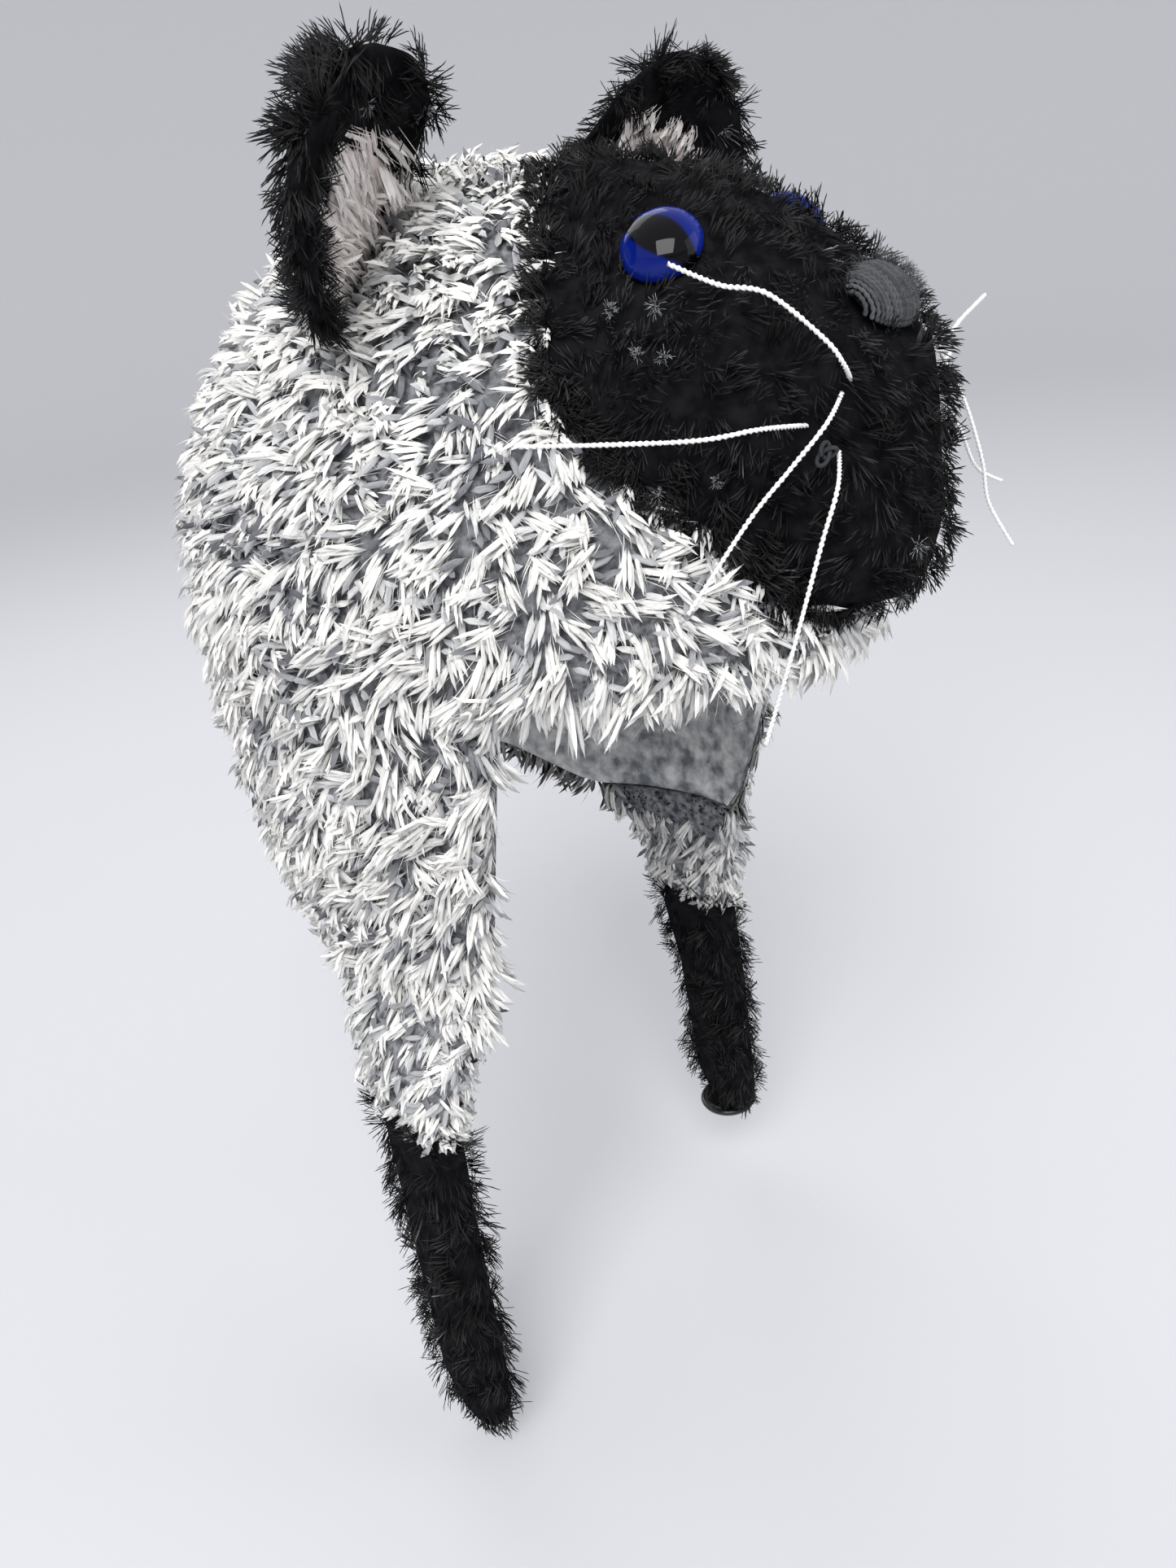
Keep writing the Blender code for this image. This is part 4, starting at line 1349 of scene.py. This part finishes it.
def plantStrap(row, isEnd):
    roots, coat = [], []
    values = endFur if isEnd else strapFur
    length = straps[row["end"]] if isEnd else straps["length"]
    rows = round(length / values["spacing"])
    for level in range(rows + 1):
        share = level / rows
        ring = [strapPoint(row, 2 * math.pi * step / 40, share, isEnd) for step in range(41)]
        columns = round(runLength(ring) / values["spacing"])
        for column in range(columns):
            angle = 2 * math.pi * (column + draw.uniform(-strayShare, strayShare)) / columns
            where = min(max(share + draw.uniform(-strayShare, strayShare) / rows, 0.0), 1.0)
            point, normal, down = strapSkin(row, angle, where, isEnd)
            if isEnd:
                root = plushRoot(point, normal, -down if where < strapPlan["upTo"] else down, values)
                if where > strapPlan["shortFrom"]:
                    root["length"] *= strapPlan["short"]
                roots.append(root)
                continue
            place = point - normal * strapPlan["sunk"]
            tint = values["tint"] + values["patch"] * greyPatch(point) + draw.uniform(*values["tintDraw"])
            wander = drift(point, 55.0, 3.1) * values["swirl"] + draw.gauss(0.0, values["jitter"])
            flow = turned(down, normal, wander)
            low = ease((where - strapPlan["lowFrom"]) / (1 - strapPlan["lowFrom"]))
            lock = values["lock"] * draw.uniform(*values["lengthDraw"]) * (1 - strapPlan["lowShort"] * low)
            roots.append(makeRoot(place, normal, flow, lock, keepTint(tint), values["lean"] * (1 - low)))
            flow = turned(down, normal, draw.uniform(-90.0, 90.0))
            lock = underFur["lock"] * (1 - strapPlan["coatShort"] * low)
            tint, lean = strapPlan["coatTint"], strapPlan["coatLean"]
            coat.append(makeRoot(place, normal, flow, lock, tint, lean))
    if isEnd:
        # the closed lower end
        middle = (strapPoint(row, 0.0, 1.0, True) + strapPoint(row, math.pi, 1.0, True)) / 2
        for _ in range(strapPlan["tipTufts"]):
            rim = strapPoint(row, draw.uniform(0.0, 2 * math.pi), 1.0, True)
            inward = draw.uniform(0.0, 0.5 if row["side"] > 0 else 1.0)
            normal = (Vector((0.0, 0.0, -1.0)) + (rim - middle) * (1 - inward) * 60).normalized()
            root = plushRoot(rim.lerp(middle, inward), normal, (rim - middle).normalized(), values)
            root["length"] *= strapPlan["tipShort"]
            roots.append(root)
        growFur("strapEnd" + row["word"] + "Fur", ((roots, values),), blackPlush, "dark_plush")
    else:
        groups = ((roots, values), (roots, lockFur), (coat, underFur))
        growFur("strap" + row["word"] + "Fur", groups, frostedFur, "frosted_fur")


for row in strapSides:
    plantStrap(row, False)
    plantStrap(row, True)
print("fur grown")


def eyeMaterial():
    # royal blue, brighter towards the rim, round an almond slit drawn on the dome's own map
    made, tree, shader = newMaterial("blueEye", 0.06)
    across, along = uvParts(tree)

    def maths(operation, first, second):
        node = tree.nodes.new("ShaderNodeMath")
        node.operation = operation
        for socket, value in zip(node.inputs, (first, second)):
            if isinstance(value, float):
                socket.default_value = value
            else:
                tree.links.new(value, socket)
        return node.outputs[0]

    x = maths("SUBTRACT", across, eyes["slitMiddle"][0])
    y = maths("SUBTRACT", along, eyes["slitMiddle"][1])
    squareX, squareY = maths("MULTIPLY", x, x), maths("MULTIPLY", y, y)
    # the slit's half width shrinks with the square of the way along it
    width = maths("SUBTRACT", eyes["slitHalf"], maths("MULTIPLY", squareX, eyes["slitNarrow"]))
    slit = maths("SUBTRACT", maths("SQRT", squareY, 0.0), width)
    radius = maths("SQRT", maths("ADD", squareX, squareY), 0.0)
    blues = ((0.10, (0.001, 0.004, 0.06)), (0.30, (0.002, 0.009, 0.13)), (0.42, (0.004, 0.016, 0.19)))
    blue = addRamp(tree, radius, blues)
    mask = addRamp(tree, slit, ((0.0, (0.0, 0.0, 0.0)), (0.03, (1.0, 1.0, 1.0))))
    colour = addMix(tree, mask, (0.001, 0.001, 0.002, 1.0), blue)
    tree.links.new(colour, shader.inputs["Base Color"])
    shader.inputs["Specular IOR Level"].default_value = 0.10
    shader.inputs["Coat Weight"].default_value = 0.16
    shader.inputs["Coat Roughness"].default_value = 0.02
    return made


blueEye = eyeMaterial()


def makeEye(side, word):
    around, share = side * eyes["place"][0], eyes["place"][1]
    normal = faceNormal(around, share)
    place = onFace(around, share)
    slitWay = imageRight * eyes["slit"][0] + imageUp * eyes["slit"][1]
    slitWay = Vector((slitWay.x * -side, slitWay.y, slitWay.z))
    slitWay = (slitWay - normal * slitWay.dot(normal)).normalized()
    crossWay = normal.cross(slitWay) * -side
    radius, dome = eyes["diameter"] / 2, eyes["domeShare"]

    def domePlace(u, v):
        turn = 2 * math.pi * u
        if v <= dome:
            rise = math.radians(90.0) * (1 - v / dome)
            reach, height = radius * math.cos(rise), eyes["height"] * math.sin(rise)
        else:
            reach, height = radius * (1 - v) / (1 - dome), 0.0
        return place + (slitWay * math.cos(turn) + crossWay * math.sin(turn)) * reach + normal * height

    piece = wrapGrid("eye" + word, 64, 25, domePlace, blueEye)
    layer = piece.data.uv_layers[0]
    layer.name = "OFBake"
    reach = eyes["mapReach"] * radius
    for loop in piece.data.loops:
        away = piece.data.vertices[loop.vertex_index].co - place
        across, along = away.dot(slitWay), away.dot(crossWay)
        layer.data[loop.index].uv = (0.5 + across / reach, 0.5 + along / reach)
    finishPiece(piece, "blue_eye", "eye_" + word.lower())


for side, word in bothSides:
    makeEye(side, word)


def tubeArrays(path, radius, sides, twist=0.0, ply=0.0):
    # a tube along a path; ply makes its section two-lobed, and twist turns it, in turns per metre
    points, faces = [], []
    ahead = (path[1] - path[0]).normalized()
    first = ahead.orthogonal().normalized()
    run = 0.0
    for index, spot in enumerate(path):
        if index:
            run += (spot - path[index - 1]).length
        nxt = path[min(index + 1, len(path) - 1)] - path[max(index - 1, 0)]
        ahead = nxt.normalized()
        first = (first - ahead * first.dot(ahead)).normalized()
        second = ahead.cross(first)
        for step in range(sides):
            turn = 2 * math.pi * step / sides
            reach = radius * (1 + ply * (math.cos(2 * turn) - 1) / 2)
            angle = turn + 2 * math.pi * twist * run
            points.append(spot + first * (math.cos(angle) * reach) + second * (math.sin(angle) * reach))
    last = len(path) - 1
    for row in range(last):
        for step in range(sides):
            nxt = (step + 1) % sides
            low = row * sides
            faces.append((low + step, low + nxt, low + sides + nxt, low + sides + step))
    faces.append(tuple(reversed(range(sides))))
    faces.append(tuple(last * sides + step for step in range(sides)))
    return points, faces


def tubePiece(name, tubes, material, slot, *replaced):
    points, faces = [], []
    for made in tubes:
        first = len(points)
        points += made[0]
        faces += [tuple(first + corner for corner in face) for face in made[1]]
    mesh = bpy.data.meshes.new(name)
    mesh.from_pydata([tuple(point) for point in points], [], faces)
    mesh.validate()
    mesh.materials.append(material)
    mesh.polygons.foreach_set("use_smooth", np.ones(len(mesh.polygons), dtype=bool))
    piece = bpy.data.objects.new(name, mesh)
    bpy.context.scene.collection.objects.link(piece)
    finishPiece(piece, slot, *replaced)
    return piece


def smoothPath(points, count):
    made = []
    for index in range(len(points) - 1):
        before, start, stop = points[max(index - 1, 0)], points[index], points[index + 1]
        after = points[min(index + 2, len(points) - 1)]
        for step in range(count):
            t = step / count
            slope = (stop - before) / 2
            bend = before - 2.5 * start + 2 * stop - after / 2
            swing = (3 * start - before - 3 * stop + after) / 2
            made.append(start + slope * t + bend * t ** 2 + swing * t ** 3)
    made.append(points[-1])
    return made


# whiskers: where each leaves the muzzle, then its course as steps out, forward and up, in metres
whiskers = {"radius": 0.0006, "twist": 380.0, "ply": 0.5, "sides": 8, "step": 0.0004}
upperRoot, middleRoot, lowerRoot, hangingRoot = (13.2, 0.663), (18.1, 0.696), (14.3, 0.674), (14.8, 0.737)
middleCourse = (
    (0.017, -0.0015, 0.0024),
    (0.026, -0.0095, 0.002),
    (0.036, -0.021, 0.003),
    (0.052, -0.035, 0.0055),
)
whiskerRows = (
    (
        "upper_right",
        -1,
        upperRoot,
        (
            (0.007, 0.002, 0.004),
            (0.011, 0.0, 0.0094),
            (0.017, -0.009, 0.019),
            (0.020, -0.018, 0.0214),
            (0.021, -0.029, 0.026),
        ),
    ),
    ("middle_right", -1, middleRoot, middleCourse),
    (
        "lower_right",
        -1,
        lowerRoot,
        ((0.011, 0.002, -0.004), (0.018, -0.003, -0.012), (0.025, -0.009, -0.021), (0.035, -0.019, -0.039)),
    ),
    (
        "hanging_right",
        -1,
        hangingRoot,
        ((0.011, 0.005, -0.005), (0.015, 0.003, -0.016), (0.021, -0.0014, -0.038), (0.023, -0.008, -0.060)),
    ),
    ("upper_left", 1, upperRoot, ((0.007, 0.0005, 0.003), (0.015, -0.001, 0.004), (0.035, -0.003, 0.007))),
    ("middle_left", 1, middleRoot, middleCourse),
    (
        "lower_left",
        1,
        hangingRoot,
        ((0.009, 0.0015, -0.007), (0.017, 0.003, -0.0185), (0.030, 0.005, -0.025)),
    ),
    (
        "hanging_left",
        1,
        lowerRoot,
        (
            (0.009, 0.0025, -0.0125),
            (0.015, 0.005, -0.028),
            (0.019, 0.0055, -0.0395),
            (0.025, 0.010, -0.052),
        ),
    ),
)
waxedThread, _, threadShader = newMaterial("waxedThread", 0.45)
threadShader.inputs["Base Color"].default_value = (0.80, 0.80, 0.785, 1.0)


def makeWhisker(name, side, place, course):
    around, share = side * place[0], place[1]
    root = onFace(around, share) + faceNormal(around, share) * (head["gap"] + whiskers["radius"])
    points = [root] + [root + Vector((side * out, -forward, up)) for out, forward, up in course]
    fine = smoothPath(points, 40)
    path, run = [fine[0]], 0.0
    for before, here in zip(fine, fine[1:]):
        run += (here - before).length
        if run >= whiskers["step"]:
            path.append(here)
            run = 0.0
    tube = tubeArrays(path, whiskers["radius"], whiskers["sides"], whiskers["twist"], whiskers["ply"])
    words = name.split("_")
    title = "whisker" + words[0].capitalize() + words[1].capitalize()
    tubePiece(title, (tube,), waxedThread, "waxed_thread", "whisker_" + name)


for row in whiskerRows:
    makeWhisker(*row)

# a small grey knot sits where the hanging whisker leaves the muzzle
knot = {"place": (-16.6, 0.728), "size": 0.0017, "radius": 0.00048}


def makeKnot():
    around, share = knot["place"]
    normal = faceNormal(around, share)
    middle = onFace(around, share) + normal * 0.0045
    flat = normal.orthogonal().normalized()
    cross = normal.cross(flat)
    path = []
    for step in range(61):
        t = 2 * math.pi * step / 60
        x, y, z = math.sin(t) + 2 * math.sin(2 * t), math.cos(t) - 2 * math.cos(2 * t), -math.sin(3 * t)
        path.append(middle + (flat * x * 0.7 + cross * y + normal * z * 0.6) * knot["size"] * 0.55)
    tube = tubeArrays(path[:-2], knot["radius"], 6)
    tubePiece("whiskerKnot", (tube,), greyYarn, "waxed_thread")


makeKnot()


def makeNose():
    # satin stitch: threads side by side over a low dome, from its back to its front
    normal = faceNormal(0.0, nose["fall"])
    place = onFace(0.0, nose["fall"])
    across = Vector((1.0, 0.0, 0.0))
    along = normal.cross(across).normalized()

    def domePlace(u, v):
        turn, dome, inset = 2 * math.pi * u, nose["domeShare"], nose["padInset"]
        rise = math.radians(90.0) * (1 - min(v / dome, 1.0))
        shrink = 1.0 if v <= dome else (1 - v) / (1 - dome)
        flat = across * (math.cos(turn) * (nose["halfWidth"] - inset))
        flat += along * (math.sin(turn) * (nose["halfLength"] - inset))
        return place + flat * math.cos(rise) * shrink + normal * ((nose["height"] - inset) * math.sin(rise))

    base = wrapGrid("nosePad", 40, 12, domePlace, blackBacking)
    finishPiece(base, "grey_yarn", "nose")
    tubes = []
    for index in range(nose["threads"]):
        u = (2 * (index + 0.5) / nose["threads"] - 1) * 0.97
        half = math.sqrt(max(1 - u * u, 0.02))
        skew = draw.uniform(-0.0004, 0.0004)
        path = []
        for step in range(13):
            w = (step / 6 - 1) * half * 0.99
            height = nose["height"] * math.sqrt(max(1 - u * u - w * w, 0.0)) - 0.0003
            bulge = draw.uniform(-0.00012, 0.00012)
            path.append(
                place
                + across * (u * nose["halfWidth"] + skew * w + bulge)
                + along * (w * nose["halfLength"])
                + normal * height
            )
        tubes.append(
            tubeArrays(
                smoothPath(path, 3),
                nose["threadRadius"],
                nose["threadSides"],
                nose["threadTwist"],
                nose["threadPly"],
            )
        )
    piece = tubePiece("noseThreads", tubes, greyYarn, "grey_yarn")
    layer = piece.data.uv_layers.new(name="OFBake")
    perThread = len(tubes[0][0])
    for face in piece.data.polygons:
        thread = face.vertices[0] // perThread
        shade = 0.15 + 0.7 * ((thread * 7) % 10) / 10
        for loop in face.loop_indices:
            layer.data[loop].uv = (shade, 0.7)
    fuzz = []
    for _ in range(nose["fuzz"]):
        u, w = draw.uniform(-0.9, 0.9), draw.uniform(-0.9, 0.9)
        if u * u + w * w > 0.9:
            continue
        height = nose["height"] * math.sqrt(1 - u * u - w * w)
        flat = across * (u * nose["halfWidth"]) + along * (w * nose["halfLength"])
        point = place + flat + normal * height
        way = (normal + across * u * 0.6 + along * w * 0.6).normalized()
        flow = turned(along, normal, draw.uniform(-180.0, 180.0))
        fuzz.append(makeRoot(point, way, flow, nose["fuzzLength"], draw.uniform(0.3, 0.9), 0.5))
    noseFur = dict(muzzleFur, hairs=5, spread=0.0012, radius=0.00007, swing=0.8)
    growFur("noseFuzz", ((fuzz, noseFur),), greyYarn, "grey_yarn")


makeNose()

# a round button with a raised rim, on a short shank
button = {
    "diameter": 0.022,
    "thickness": 0.0030,
    "rim": 0.0026,
    "dish": 0.0013,
    "shank": 0.0025,
    "shankLength": 0.004,
}


def makeButton():
    out = head["halfWidth"] * leftHang[-1]["out"]
    top = -head["dome"] - edge["flap"] - straps["length"] - straps["endLeft"] - 3 * head["gap"]
    middle = Vector((out, leftHang[-1]["back"], top))
    radius, low = button["diameter"] / 2, -button["shankLength"]
    profile = (
        (0.0, 0.0),
        (button["shank"], 0.0),
        (button["shank"], low - button["dish"] * 0.8),
        (radius - button["rim"], low - button["dish"] * 0.8),
        (radius - button["rim"] * 0.75, low - button["dish"] * 0.3),
        (radius - button["rim"] * 0.4, low),
        (radius - button["rim"] * 0.1, low - button["dish"] * 0.3),
        (radius, low - button["thickness"] * 0.45),
        (radius - button["rim"] * 0.2, low - button["thickness"] * 0.8),
        (radius - button["rim"] * 0.7, low - button["thickness"]),
        (0.0, low - button["thickness"]),
    )

    def lathe(u, v):
        step = v * (len(profile) - 1)
        index = min(int(step), len(profile) - 2)
        part = step - index
        reach = profile[index][0] * (1 - part) + profile[index + 1][0] * part
        height = profile[index][1] * (1 - part) + profile[index + 1][1] * part
        turn = 2 * math.pi * u
        return middle + Vector((reach * math.cos(turn), reach * math.sin(turn), height))

    glossy, _, shader = newMaterial("darkPlastic", 0.22)
    shader.inputs["Base Color"].default_value = (0.008, 0.008, 0.009, 1.0)
    piece = wrapGrid("strapButton", 56, 30, lathe, glossy)
    finishPiece(piece, "dark_plastic", "button")


makeButton()
print("small pieces made")

studio = {
    "floorLevel": -0.372,
    "floorRadius": 2.2,
    "rimRadius": 1.6,
    "floorColour": (0.53, 0.535, 0.555),
    "worldColour": (0.96, 0.97, 1.0),
    "worldStrength": 0.82,
}
lights = (
    {"name": "keyLight", "at": (-1.95, -1.17, 1.95), "aim": (0.0, 0.0, -0.12), "size": 1.8, "power": 100.0},
    {"name": "fillLight", "at": (0.35, -1.05, 0.35), "aim": (0.0, -0.02, -0.12), "size": 0.9, "power": 3.0},
    {"name": "backLight", "at": (0.5, 0.8, 0.7), "aim": (0.0, 0.0, -0.10), "size": 0.9, "power": 4.0},
)


def setStudio():
    # a plain floor whose far rim curves up all round, so that no edge shows
    def floorPlace(u, v):
        turn, out = 2 * math.pi * u, v * 2
        rise = math.radians(90.0) * max(out - 1.0, 0.0)
        radius = studio["floorRadius"] * min(out, 1.0) + studio["rimRadius"] * math.sin(rise)
        level = studio["floorLevel"] + studio["rimRadius"] * (1 - math.cos(rise))
        return Vector((radius * math.cos(turn), radius * math.sin(turn), level))

    made, _, shader = newMaterial("studioFloor", 0.9)
    shader.inputs["Base Color"].default_value = (*studio["floorColour"], 1.0)
    floor = wrapGrid("studioFloor", 96, 24, floorPlace, made)
    world = bpy.data.worlds.new("studioWorld")
    world.use_nodes = True
    background = world.node_tree.nodes["Background"]
    background.inputs["Color"].default_value = (*studio["worldColour"], 1.0)
    background.inputs["Strength"].default_value = studio["worldStrength"]
    bpy.context.scene.world = world
    bpy.context.scene.view_settings.view_transform = "Standard"
    for row in lights:
        clearSelection()
        bpy.ops.object.light_add(type="AREA", location=row["at"])
        lamp = bpy.context.object
        lamp.name = row["name"]
        lamp.data.energy = row["power"]
        lamp.data.size = row["size"]
        lamp.rotation_euler = (Vector(row["aim"]) - Vector(row["at"])).to_track_quat("-Z", "Y").to_euler()


setStudio()
print("studio lit")
